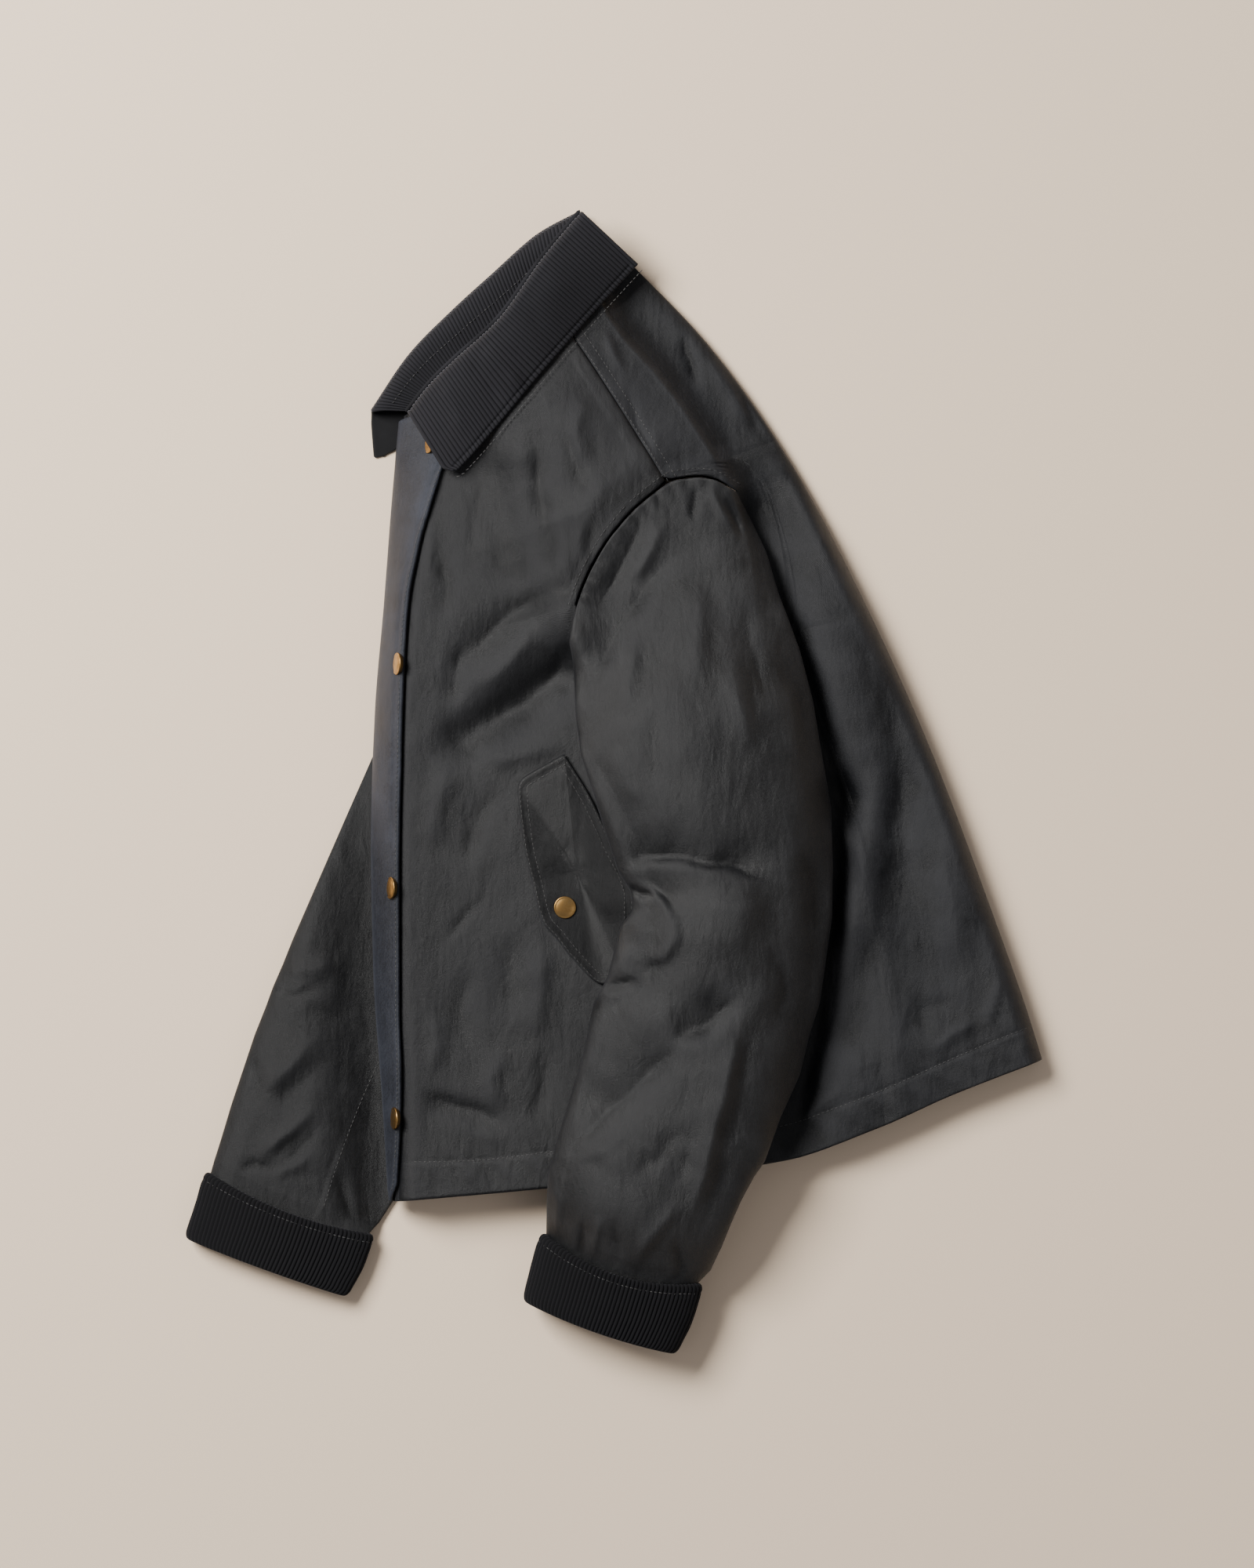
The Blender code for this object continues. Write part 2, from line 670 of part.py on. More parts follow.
def layer_normals(s, row, layer):
    """Normals of a body layer, facing out of the tube."""
    width = body_width(row)
    before = np.clip(s - 0.4, 0, width)
    after = np.clip(s + 0.4, 0, width)
    up = np.clip(row - 0.02, 0, 7)
    down = np.clip(row + 0.02, 0, 7)
    across = layer_points(after, row, layer) - layer_points(before, row, layer)
    share = s / width
    along = layer_points(share * body_width(down), down, layer)
    along = along - layer_points(share * body_width(up), up, layer)
    n = np.cross(along, across)
    n = n / np.linalg.norm(n, axis=-1, keepdims=True)
    return n if layer == "top" else -n


def body_line(start, stop, row, counts, start_layer, stop_layer):
    """One section of a panel: its outer points and their normals."""
    spans = []
    width = float(body_width(row))
    if start_layer == stop_layer:
        spans.append((spread(start, stop, row, counts[0], start_layer), start_layer))
    elif start_layer == "top":
        spans.append((spread(start, width, row, counts[0], "top"), "top"))
        spans.append((spread(width, stop, row, counts[1], "bottom")[1:], "bottom"))
    else:
        spans.append((spread(start, 0.0, row, counts[0], "bottom"), "bottom"))
    points = []
    facing = []
    for s, layer in spans:
        rows = np.full(s.shape, float(row))
        points.append(layer_points(s, rows, layer))
        facing.append(layer_normals(s, rows, layer))
    return np.concatenate(points), np.concatenate(facing)


PANEL_ROWS = np.array([
    0.0, 0.3, 0.7, 1.1, 1.45, 1.7, 1.81, 1.88, 1.96, 2.05, 2.16, 2.3, 2.46, 2.6, 2.76, 2.92, 3.04,
    3.14, 3.45, 3.9, 4.4, 4.9, 5.4, 5.9, 6.4, 6.75, 7.0,
])

front_rows, front_s = front_limit()
back_rows, back_s = back_limit()
front_edge_s = np.interp(PANEL_ROWS, front_rows, front_s) - SEAM
back_edge_s = np.interp(PANEL_ROWS, back_rows, back_s) + SEAM

edge_y = np.linspace(250.0, -283.0, 60)
band_rows, band_s = body_find(through(edge_y, FRONT_EDGE, 1), edge_y)
flap_rows, flap_s = body_find(through(edge_y, FRONT_EDGE, 2), edge_y)


def band_at(rows):
    return np.interp(rows, band_rows, band_s)


def flap_at(rows):
    return np.interp(rows, flap_rows, flap_s)


def make_panel(name, start, stop, counts, start_layer, stop_layer):
    """Stretch of the body tube between two limits, over one fold or none."""
    lines = [
        body_line(start[k], stop[k], row, counts, start_layer, stop_layer)
        for k, row in enumerate(PANEL_ROWS)
    ]
    outer = np.array([points for points, _ in lines])
    facing = np.array([n for _, n in lines])
    return closed_wall(name, outer, outer - CLOTH * facing, "waxed_cotton")


make_panel("front_left", band_at(PANEL_ROWS) + SEAM, front_edge_s, (12,), "top", "top")
make_panel("back", back_edge_s, back_edge_s, (13, 10), "top", "bottom")
make_panel("front_right", front_edge_s, front_edge_s * 0, (11,), "bottom", "fold")

# Underlap band of the left front, beneath the storm flap.
make_panel("underlap_band", PANEL_ROWS * 0 + 1.2, band_at(PANEL_ROWS) - SEAM, (5,), "top", "top")

# Storm flap: laid on the steep edge from the right front, its free edge standing off the band.
FLAP_ROWS = np.concatenate([[0.06], PANEL_ROWS[1:]])
flap_lines = [
    body_line(0.0, float(flap_at(row)), row, (6,), "top", "top") for row in FLAP_ROWS
]
flap_base = np.array([points for points, _ in flap_lines])
flap_n = np.array([n for _, n in flap_lines])
flap_lift = 2.6 * ease(np.linspace(-0.6, 1.0, 6))[None, :, None]
flap_in = flap_base + flap_n * (FLAP_CLEAR + flap_lift)
flap_out = flap_in + flap_n * FLAP_CLOTH
closed_wall("storm_flap", flap_out, flap_in, "waxed_cotton")



# ---- sleeves ---------------------------------------------------------------------------

POCKET_RING = [tuple(p) for p in POCKET_FLAP]


def arm_bow(share, over):
    return through(share, ARM_OVER if over else ARM_UNDER, 1)


def sleeve_line(table, row, share, over):
    """Plan points across a sleeve section: its chord, armhole arc and hem-side bow."""
    fx = through(row, table, 1)
    fy = through(row, table, 2)
    bx = through(row, table, 3)
    by = through(row, table, 4)
    dx = bx - fx
    dy = by - fy
    length = np.hypot(dx, dy)
    arc = arm_bow(share, over) * through(row, table, 6 if over else -1) - 4 * share * (1 - share) * through(row, table, 5)
    return fx + dx * share - dy / length * arc, fy + dy * share + dx / length * arc


def body_rest(x, y):
    """Level on which the left sleeve lies, over the body and its pocket flap."""
    flap = POCKET_CLOTH + 1.4
    return body_top(x, y) + SLIDE + flap * ease(1 - (outside(x, y, POCKET_RING) - 3) / 14)


def edge_in(table, row, first, second):
    """Unit plan step square to a sleeve's edge line, towards the sleeve's middle."""
    before = np.clip(row - 0.1, 0.0, 10.0)
    after = np.clip(row + 0.1, 0.0, 10.0)
    tx = through(after, table, first) - through(before, table, first)
    ty = through(after, table, second) - through(before, table, second)
    ahead = np.clip(row + 1.0, 0.0, 10.0)
    cx = (through(ahead, table, 1) + through(ahead, table, 3)) / 2 - through(row, table, first)
    cy = (through(ahead, table, 2) + through(ahead, table, 4)) / 2 - through(row, table, second)
    side = np.sign(cy * tx - cx * ty)
    length = np.hypot(tx, ty)
    return -ty / length * side, tx / length * side


def drawn_in(table, row, share, inset):
    """Plan step that draws a section's point in from its nearer edge by an inset."""
    front_x, front_y = edge_in(table, row, 1, 2)
    back_x, back_y = edge_in(table, row, 3, 4)
    front = inset * np.clip(1 - share / 0.15, 0, 1)
    back = inset * np.clip(1 - (1 - share) / 0.15, 0, 1)
    return front_x * front + back_x * back, front_y * front + back_y * back


def left_sleeve_ring(row, turn, inset=0.0):
    """Points of a left sleeve section, drawn in from its outer face by an inset.
    Turn 0 to 1 goes over the top, 1 to 2 back under."""
    over = turn <= 1.0
    half = np.where(over, turn, 2.0 - turn)
    share = (1 - np.cos(np.pi * half)) / 2
    lift = np.sin(np.pi * half)
    xo, yo = sleeve_line(SLEEVE_LEFT, row, share, True)
    xu, yu = sleeve_line(SLEEVE_LEFT, row, share, False)
    x = np.where(over, xo, xu)
    y = np.where(over, yo, yu)
    off = ease(through(row, SLEEVE_LEFT, 9))
    base = body_rest(x, y) * (1 - off) + through(row, SLEEVE_LEFT, 8) * off
    thick = through(row, SLEEVE_LEFT, 7)
    middle = base + thick / 2
    high = thick / 2 - inset
    sewn = ease(1 - row / 2.2) * ease((lift - 0.38) / 0.6) * ease(1 - outside(x, y, ARMHOLE) / 3)
    top = middle + high * np.abs(lift) ** 0.8
    top = top * (1 - sewn) + (body_top(x, y) - inset) * sewn
    under = middle - high * np.abs(lift) ** 0.38
    in_x, in_y = drawn_in(SLEEVE_LEFT, row, share, inset)
    return np.stack([x + in_x, y + in_y, np.where(over, top, under)], axis=-1)


def past_fold(x, y):
    """Distance of a plan point past the body's front fold or hem."""
    rows = np.clip(y, -283.0, 248.0)
    fold = through(rows, BODY, 1, key=2)
    return np.maximum(fold - x, -286.0 - y)


def right_sleeve_ring(row, turn, inset=0.0):
    """Points of a right sleeve section, drawn in from its outer face by an inset.
    Turn 0 to 1 goes over the top, 1 to 2 back under."""
    over = turn <= 1.0
    half = np.where(over, turn, 2.0 - turn)
    share = (1 - np.cos(np.pi * half)) / 2
    lift = np.sin(np.pi * half)
    xo, yo = sleeve_line(SLEEVE_RIGHT, row, share, False)
    xu, yu = sleeve_line(SLEEVE_RIGHT, row, share, True)
    x = np.where(over, xo, xu)
    y = np.where(over, yo, yu)
    roof = SLEEVE_LIFT - SLIDE - 0.2
    thick = roof + (SLEEVE_RIGHT_THICK - roof) * ease((past_fold(x, y) - 4) / 48)
    high = thick / 2 - inset
    top = thick / 2 + high * np.abs(lift) ** 0.6
    under = thick / 2 - high * np.abs(lift) ** 0.3
    in_x, in_y = drawn_in(SLEEVE_RIGHT, row, share, inset)
    return np.stack([x + in_x, y + in_y, np.where(over, top, under)], axis=-1)


LEFT_ROWS = (0.0, 0.15, 0.35, 0.65, 1.0, 1.5, 2.0, 2.6, 3.3, 4.0, 4.5, 5.0, 5.5, 6.1, 6.8, 7.5,
             8.2, 8.8, 9.4, 9.75, 10.0)
RIGHT_ROWS = (0.0, 0.15, 0.35, 0.65, 1.0, 1.5, 2.0, 2.6, 3.2, 3.8, 4.4, 5.0, 5.7, 6.4, 7.1, 7.8,
              8.5, 9.1, 9.6, 10.0)


def cuff_mid(table):
    """Plan direction from the sleeve's end to the cuff's mouth."""
    first = np.array([(table[0][1] + table[0][3]) / 2, (table[0][2] + table[0][4]) / 2])
    last = np.array([(table[-1][1] + table[-1][3]) / 2, (table[-1][2] + table[-1][4]) / 2])
    step = last - first
    return step / np.linalg.norm(step)


def cuff_ring(table, row, turn, inset):
    """Points of a cuff section, drawn in from its outer face by an inset."""
    over = turn <= 1.0
    half = np.where(over, turn, 2.0 - turn)
    share = (1 - np.cos(np.pi * half)) / 2
    lift = np.abs(np.sin(np.pi * half))
    fx = through(row, table, 1)
    fy = through(row, table, 2)
    bx = through(row, table, 3)
    by = through(row, table, 4)
    length = np.hypot(bx - fx, by - fy)
    thick = through(row, table, 6)
    under = through(row, table, 7)
    across = length / 2 - inset
    high = thick / 2 - inset
    flat = (2 * share - 1) * across
    rise = high * lift ** 0.62
    z = under + thick / 2 + np.where(over, rise, -high * lift ** 0.5)
    ux = (bx - fx) / length
    uy = (by - fy) / length
    bow = -4 * share * (1 - share) * through(row, table, 5)
    x = (fx + bx) / 2 + ux * flat - uy * bow
    y = (fy + by) / 2 + uy * flat + ux * bow
    return np.stack([x, y, z], axis=-1)


def wale_wave(length, width):
    """Points along a ribbed edge and the height of each, crest or groove."""
    wales = int(round(length / width))
    at = np.linspace(0, 1, 2 * wales + 1)
    height = np.where(np.arange(2 * wales + 1) % 2 == 0, 0.0, 1.0)
    return at, height


def make_cuff(name, table):
    """Turned-back corduroy cuff: ribs along the arm on the outside, plain inside."""
    dense = np.linspace(0, 2, 721)
    path = cuff_ring(table, 1.0, dense, 0.0)
    far = np.concatenate([[0], np.cumsum(np.linalg.norm(np.diff(path, axis=0), axis=1))])
    at, height = wale_wave(far[-1], WALE)
    turns = np.interp(at[:-1] * far[-1], far, dense)
    height = height[:-1]
    outer = []
    for row in (0.0, 2.0):
        crest = cuff_ring(table, row, turns, 0.0)
        groove = cuff_ring(table, row, turns, WALE_DEPTH)
        outer.append(crest * height[:, None] + groove * (1 - height[:, None]))
    plain = np.interp(np.linspace(0, far[-1], 61)[:-1], far, dense)
    inner = [cuff_ring(table, row, plain, CORD_WALL) for row in (0.0, 2.0)]
    return closed_wall(name, np.array(outer), np.array(inner), "corduroy", wrap=True)


def end_inside(grid, cuff_table, turns, lap, inset):
    """Replace a sleeve's last section by two that pass inside its cuff."""
    out_dir = cuff_mid(cuff_table)
    mouth = []
    span = np.hypot(cuff_table[1][1] - cuff_table[0][1], cuff_table[1][2] - cuff_table[0][2])
    ring = cuff_ring(cuff_table, 0.0, turns, CORD_WALL + 1.1 + inset)
    ring[:, 0] -= out_dir[0] * 1.2
    ring[:, 1] -= out_dir[1] * 1.2
    mouth.append(ring)
    mouth.append(cuff_ring(cuff_table, lap / span, turns, CORD_WALL + 1.1 + inset))
    return np.concatenate([grid[:-1], np.array(mouth)])


def round_turns(first, last, count):
    """Turns between two seams, closer together at the sleeve's edges."""
    dense = np.linspace(first, last, 400)
    near = np.abs(dense - np.round(dense))
    weight = 1 + 3.5 * np.exp(-(near / 0.07) ** 2)
    measure = np.concatenate([[0], np.cumsum((weight[1:] + weight[:-1]) / 2)])
    return np.interp(np.linspace(0, measure[-1], count), measure, dense)


def make_sleeve(name, ring, rows, seams, counts, cuff_table):
    """Sleeve tube cut along its two seams into a top and an under piece."""
    pad = SEAM / 150.0
    spans = ((seams[0], seams[1]), (seams[1], seams[0] + 2.0))
    for label, (first, last), count in zip(("top", "under"), spans, counts):
        turns = np.mod(round_turns(first + pad, last - pad, count), 2.0)
        walls = []
        for inset in (0.0, SLEEVE_CLOTH):
            wall = np.array([ring(row, turns, inset) for row in rows])
            walls.append(end_inside(wall, cuff_table, turns, CUFF_LAP, inset))
        closed_wall(name + "_" + label, walls[0], walls[1], "waxed_cotton")


make_sleeve("sleeve_left", left_sleeve_ring, LEFT_ROWS, (-0.15, 1.25), (18, 7), CUFF_LEFT)
make_sleeve("sleeve_right", right_sleeve_ring, RIGHT_ROWS, (1.3, 2.58), (17, 9), CUFF_RIGHT)
make_cuff("cuff_left", CUFF_LEFT)
make_cuff("cuff_right", CUFF_RIGHT)


# ---- collar ----------------------------------------------------------------------------


def along_collar(table, count):
    """Rows at even steps along the roll line."""
    dense = np.linspace(0, 5, 301)
    x = through(dense, table, 1)
    y = through(dense, table, 2)
    far = np.concatenate([[0], np.cumsum(np.hypot(np.diff(x), np.diff(y)))])
    return np.interp(np.linspace(0, far[-1], count), far, dense), far[-1]


def fall_clear(row):
    """Height of the fall's outer face above the body, more where the storm flap is under it."""
    return CORD_WALL + 2.0 + 5.4 * ease((row - 3.0) / 1.2)


def fall_point(row, share):
    """Outer face of the left fall, from the roll line (0) to its free edge (1)."""
    rx, ry, rz = (through(row, COLLAR_LEFT, c) for c in (1, 2, 3))
    ex, ey = (through(row, COLLAR_LEFT, c) for c in (4, 5))
    x = rx + (ex - rx) * share
    y = ry + (ey - ry) * share
    ez = np.maximum(body_top(ex, ey) + fall_clear(row), through(row, COLLAR_LEFT, 6))
    z = rz + (ez - rz) * share + 4.0 * np.sin(np.pi * share ** 0.8)
    z = np.maximum(z, body_top(x, y) + fall_clear(row))
    drop = COLLAR_ROLL * 1.6 * (1 - quarter(share / 0.1))
    return np.stack([x, y, z - drop], axis=-1)


def neck_plan(share):
    """Point on the neck seam, just inside the body's edge."""
    row = np.full(np.shape(share), 0.06)
    return body_plan(share * body_width(row), row)


def stand_point(row, share):
    """Neck face of the left stand, from under the roll line (0) to the neck seam (1)."""
    rx, ry, rz = (through(row, COLLAR_LEFT, c) for c in (1, 2, 3))
    nx, ny = neck_plan(through(row, COLLAR_LEFT, 7))
    nz = body_top(nx, ny) + through(row, COLLAR_LEFT, 8)
    top = rz - COLLAR_ROLL * 1.6 - 0.8
    x = rx + (nx - rx) * share
    y = ry + (ny - ry) * share
    dip = CORD_WALL * 1.6 * quarter(share / 0.3)
    return np.stack([x, y, top + (nz - top) * share - dip * (1 - share)], axis=-1)


def up_normals(grid):
    """Normals of a grid, facing up at its middle and level along its first row, the roll line."""
    n = normals(grid)
    n = n * np.sign(n[len(n) // 2, n.shape[1] // 2, 2])
    n[0, :, 2] = 0.0
    n[0] = n[0] / np.linalg.norm(n[0], axis=1, keepdims=True)
    return n


def make_fall():
    rows, length = along_collar(COLLAR_LEFT, 601)
    at, height = wale_wave(length, WALE)
    fine = np.interp(at, np.linspace(0, 1, 601), rows)
    shares = np.array([0.0, 0.05, 0.35, 0.7, 1.0])
    outer = np.array([fall_point(fine, np.full(fine.shape, f)) for f in shares])
    n = up_normals(outer)
    outer = outer - n * ((1 - height) * WALE_DEPTH)[None, :, None]
    plain = np.interp(np.linspace(0, 1, 25), np.linspace(0, 1, 601), rows)
    base = np.array([fall_point(plain, np.full(plain.shape, f)) for f in shares])
    inner = base - up_normals(base) * CORD_WALL
    closed_wall("collar_fall_left", outer, inner, "corduroy")


def make_stand():
    rows, length = along_collar(COLLAR_LEFT, 25)
    shares = np.array([0.0, 0.3, 0.65, 1.0])
    outer = np.array([stand_point(rows, np.full(rows.shape, f)) for f in shares])
    inner = outer - up_normals(outer) * CORD_WALL
    closed_wall("collar_stand_left", outer, inner, "corduroy")


def band_point(row, share):
    """Neck face of the right half, from its roll at the outline (0) to the neck seam (1)."""
    rx, ry, rz = (through(row, COLLAR_RIGHT, c) for c in (1, 2, 3))
    place = through(row, COLLAR_RIGHT, 4)
    nx, ny = neck_plan(place)
    neck_row = np.full(np.shape(place), 0.06)
    nz = bottom_height(place * body_width(neck_row), neck_row) + CLOTH + CORD_WALL + 1.2
    x = rx + (nx - rx) * share
    y = ry + (ny - ry) * share
    turn = rz / 2 * (1 - quarter(share / 0.3))
    return np.stack([x, y, rz + (nz - rz) * share - turn], axis=-1)


def leaf_point(row, share):
    """Floor face of the right leaf, from the roll (0) to its edge under the body (1)."""
    rx, ry, rz = (through(row, COLLAR_RIGHT, c) for c in (1, 2, 3))
    lx, ly = (through(row, COLLAR_RIGHT, c) for c in (5, 6))
    x = rx + (lx - rx) * share
    y = ry + (ly - ry) * share
    return np.stack([x, y, (rz / 2 - 0.8) * (1 - quarter(share / 0.2))], axis=-1)


def make_right_collar():
    rows, length = along_collar(COLLAR_RIGHT, 601)
    at, height = wale_wave(length, WALE)
    fine = np.interp(at, np.linspace(0, 1, 601), rows)
    shares = np.array([0.0, 0.06, 0.3, 1.0])
    outer = np.array([band_point(fine, np.full(fine.shape, f)) for f in shares])
    outer = outer - up_normals(outer) * ((1 - height) * WALE_DEPTH)[None, :, None]
    plain = np.interp(np.linspace(0, 1, 25), np.linspace(0, 1, 601), rows)
    base = np.array([band_point(plain, np.full(plain.shape, f)) for f in shares])
    closed_wall("collar_band_right", outer, base - up_normals(base) * CORD_WALL, "corduroy")
    shares = np.array([0.0, 0.04, 0.2, 0.6, 1.0])
    under = np.array([leaf_point(plain, np.full(plain.shape, f)) for f in shares])
    closed_wall("collar_leaf_right", under, under + up_normals(under) * CORD_WALL, "corduroy")


make_fall()
make_stand()
make_right_collar()


# ---- pocket flap and snaps -------------------------------------------------------------


def make_pocket():
    """Pocket flap, laid on the left front: fans of points from its outline inward."""
    ring = densify(list(POCKET_FLAP) + [POCKET_FLAP[0]], 33)[:-1]
    centre = np.mean(np.array(ring), axis=0)
    ring = np.array(ring)
    lines = []
    for share in (1.0, 0.93, 0.5):
        xy = centre + (ring - centre) * share
        z = body_top(xy[:, 0], xy[:, 1])
        lines.append(np.stack([xy[:, 0], xy[:, 1], z], axis=-1))
    grid = np.array(lines)
    low = grid.copy()
    low[:, :, 2] += SEAM + 0.4
    high = grid.copy()
    high[:, :, 2] += SEAM + 0.4 + POCKET_CLOTH
    high[0, :, 2] -= 0.8
    count = len(ring)
    points = np.concatenate([high.reshape(-1, 3), low.reshape(-1, 3)])
    faces = []
    grid_faces(0, 3, count, True, faces)
    below = []
    grid_faces(3 * count, 3, count, True, below)
    faces += [face[::-1] for face in below]
    zipper(line(0, 3, count, "top", True), line(3 * count, 3, count, "top", True), faces)
    middle = body_top(centre[0], centre[1])
    caps = [
        [centre[0], centre[1], float(middle) + SEAM + 0.4 + POCKET_CLOTH],
        [centre[0], centre[1], float(middle) + SEAM + 0.4],
    ]
    points = np.concatenate([points, np.array(caps)])
    for k in range(count):
        nxt = (k + 1) % count
        faces.append((2 * count + k, 2 * count + nxt, 6 * count))
        faces.append((5 * count + nxt, 5 * count + k, 6 * count + 1))
    add_object("pocket_flap_left", points, faces, "waxed_cotton")


def make_snap(name, foot, normal):
    """Domed snap cap, turned about the normal of the cloth it sits on."""
    sides = 20
    normal = normal / np.linalg.norm(normal)
    first = np.cross(normal, [0.0, 1.0, 0.2])
    first = first / np.linalg.norm(first)
    second = np.cross(normal, first)
    points = []
    for radius, height in SNAP_PROFILE:
        for k in range(sides):
            angle = 2 * math.pi * k / sides
            rim = first * math.cos(angle) + second * math.sin(angle)
            points.append(foot + normal * height + rim * radius)
    levels = len(SNAP_PROFILE)
    faces = []
    grid_faces(0, levels, sides, True, faces)
    faces.append(tuple(range(sides))[::-1])
    faces.append(tuple(range((levels - 1) * sides, levels * sides)))
    add_object(name, np.array(points), faces, "brass")


def flap_surface(k, c):
    """Outer face of the storm flap between its grid points."""
    k = np.clip(k, 0, flap_out.shape[0] - 1.001)
    c = np.clip(c, 0, flap_out.shape[1] - 1.001)
    k0 = k.astype(int)
    c0 = c.astype(int)
    t = (k - k0)[..., None]
    u = (c - c0)[..., None]
    low = flap_out[k0, c0] * (1 - u) + flap_out[k0, c0 + 1] * u
    high = flap_out[k0 + 1, c0] * (1 - u) + flap_out[k0 + 1, c0 + 1] * u
    return low * (1 - t) + high * t


def snap_on_flap(row, share):
    """Foot of a snap, just clear of the storm flap, and the way it faces."""
    k = np.interp(row, FLAP_ROWS, np.arange(len(FLAP_ROWS)))
    c = share * (flap_out.shape[1] - 1)
    kk, cc = np.meshgrid(k + np.linspace(-0.8, 0.8, 41), c + np.linspace(-2.4, 2.4, 49))
    patch = flap_surface(kk, cc).reshape(-1, 3)
    foot = flap_surface(np.array([k]), np.array([c]))[0]
    near = patch[np.linalg.norm(patch - foot, axis=1) < 8.2] - foot
    _, _, axes = np.linalg.svd(near - near.mean(axis=0))
    facing = axes[2] * np.sign(axes[2][2])
    return foot + facing * (float((near @ facing).max()) + SEAM), facing


make_pocket()
for snap_name, snap_row, snap_share in SNAPS:
    point, facing = snap_on_flap(snap_row, snap_share)
    make_snap(snap_name, point, facing)
height = float(body_top(*POCKET_SNAP)) + SEAM + 0.4 + POCKET_CLOTH
make_snap("snap_pocket", np.array([POCKET_SNAP[0], POCKET_SNAP[1], height + 0.6]), np.array([0, 0, 1.0]))


# ---- origin at the bottom centre of the whole jacket -----------------------------------

corners = []
for obj in collection.objects:
    flat = np.empty(len(obj.data.vertices) * 3)
    obj.data.vertices.foreach_get("co", flat)
    corners.append(flat.reshape(-1, 3))
every = np.concatenate(corners)
centre = (every.min(axis=0) + every.max(axis=0)) / 2
centre[2] = every[:, 2].min()
for obj, co in zip(collection.objects, corners):
    obj.data.vertices.foreach_set("co", (co - centre).ravel())
    obj.data.update()
print("origin moved by", centre.round(5), "size", (every.max(axis=0) - every.min(axis=0)).round(4))
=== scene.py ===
import math

import bmesh
import bpy
import numpy as np
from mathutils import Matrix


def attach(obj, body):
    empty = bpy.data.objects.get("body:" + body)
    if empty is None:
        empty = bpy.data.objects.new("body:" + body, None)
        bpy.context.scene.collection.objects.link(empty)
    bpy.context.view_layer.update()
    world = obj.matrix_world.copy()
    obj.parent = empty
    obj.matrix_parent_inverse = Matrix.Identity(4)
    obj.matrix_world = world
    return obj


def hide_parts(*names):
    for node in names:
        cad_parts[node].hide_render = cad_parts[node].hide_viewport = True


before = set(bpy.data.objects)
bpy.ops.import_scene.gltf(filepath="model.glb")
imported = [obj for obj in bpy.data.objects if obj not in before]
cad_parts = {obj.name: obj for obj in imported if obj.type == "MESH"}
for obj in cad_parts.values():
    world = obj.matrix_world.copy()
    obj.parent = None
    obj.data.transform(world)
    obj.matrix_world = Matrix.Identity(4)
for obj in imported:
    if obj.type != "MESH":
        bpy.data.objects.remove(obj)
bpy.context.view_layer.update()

# A waxed cotton jacket, closed and laid on its right side.
# Every shape is worked out in millimetres in plan, z up, and written to its mesh in metres.
placing = {
    "unit": 0.001,
    "shift": (-0.46, -0.65, 0.0),   # puts the middle of the laid jacket's foot on the origin
}

print("jacket: solids loaded")


# smooth line through one column of a table: a cubic between rows whose slopes never overshoot
def readTable(at, table, column, key=0):
    knots = np.array([row[key] for row in table], float)
    values = np.array([row[column] for row in table], float)
    at = np.asarray(at, float)
    if knots[0] > knots[-1]:
        knots, values = knots[::-1], values[::-1]
    step = np.diff(knots)
    rise = np.diff(values) / step
    slope = np.zeros(len(knots))
    same = rise[:-1] * rise[1:] > 0
    total = np.where(same, rise[:-1] + rise[1:], 1.0)
    slope[1:-1] = np.where(same, 2 * rise[:-1] * rise[1:] / total, 0.0)
    slope[0], slope[-1] = rise[0], rise[-1]
    i = np.clip(np.searchsorted(knots, at, side="right") - 1, 0, len(step) - 1)
    t = np.clip((at - knots[i]) / step[i], 0.0, 1.0)
    h = step[i]
    return (
        values[i] * (1 + 2 * t) * (1 - t) ** 2
        + slope[i] * h * t * (1 - t) ** 2
        + values[i + 1] * t * t * (3 - 2 * t)
        + slope[i + 1] * h * t * t * (t - 1)
    )


# the same for several columns
def readColumns(at, table, *columns):
    return [readTable(at, table, column) for column in columns]


# 0 to 1 with level ends: t squared times 3 less 2 t
def ease(t):
    t = np.clip(t, 0.0, 1.0)
    return t * t * (3 - 2 * t)


# edge of a rounded form: one quarter of a superellipse, upright at 0 and level at 1
def roundOff(t, power=2.0):
    t = np.clip(t, 0.0, 1.0)
    return (1 - (1 - t) ** power) ** (1 / power)


# for every point, the distance to a path (plus on its left), the way along it, its length
# and the nearest place on it
def alongPath(x, y, path):
    x, y = np.asarray(x, float), np.asarray(y, float)
    best = np.full(x.shape, 1e9)
    side, along = np.zeros(x.shape), np.zeros(x.shape)
    nearX, nearY = np.zeros(x.shape), np.zeros(x.shape)
    gone = 0.0
    for (x0, y0), (x1, y1) in zip(path[:-1], path[1:]):
        dx, dy = x1 - x0, y1 - y0
        length = math.hypot(dx, dy)
        t = np.clip(((x - x0) * dx + (y - y0) * dy) / length ** 2, 0.0, 1.0)
        px, py = x0 + t * dx, y0 + t * dy
        far = np.hypot(x - px, y - py)
        nearer = far < best
        best = np.where(nearer, far, best)
        side = np.where(nearer, np.sign(dx * (y - y0) - dy * (x - x0)), side)
        along = np.where(nearer, gone + t * length, along)
        nearX, nearY = np.where(nearer, px, nearX), np.where(nearer, py, nearY)
        gone += length
    return best * side, along, gone, nearX, nearY


# way along a line of points to each of them, or along one axis of a grid of points: the sum
# of the steps before it
def wayTo(points, axis=0):
    steps = np.linalg.norm(np.diff(points, axis=axis), axis=-1)
    none = np.zeros_like(np.take(steps, [0], axis=axis))
    return np.concatenate([none, np.cumsum(steps, axis=axis)], axis=axis)


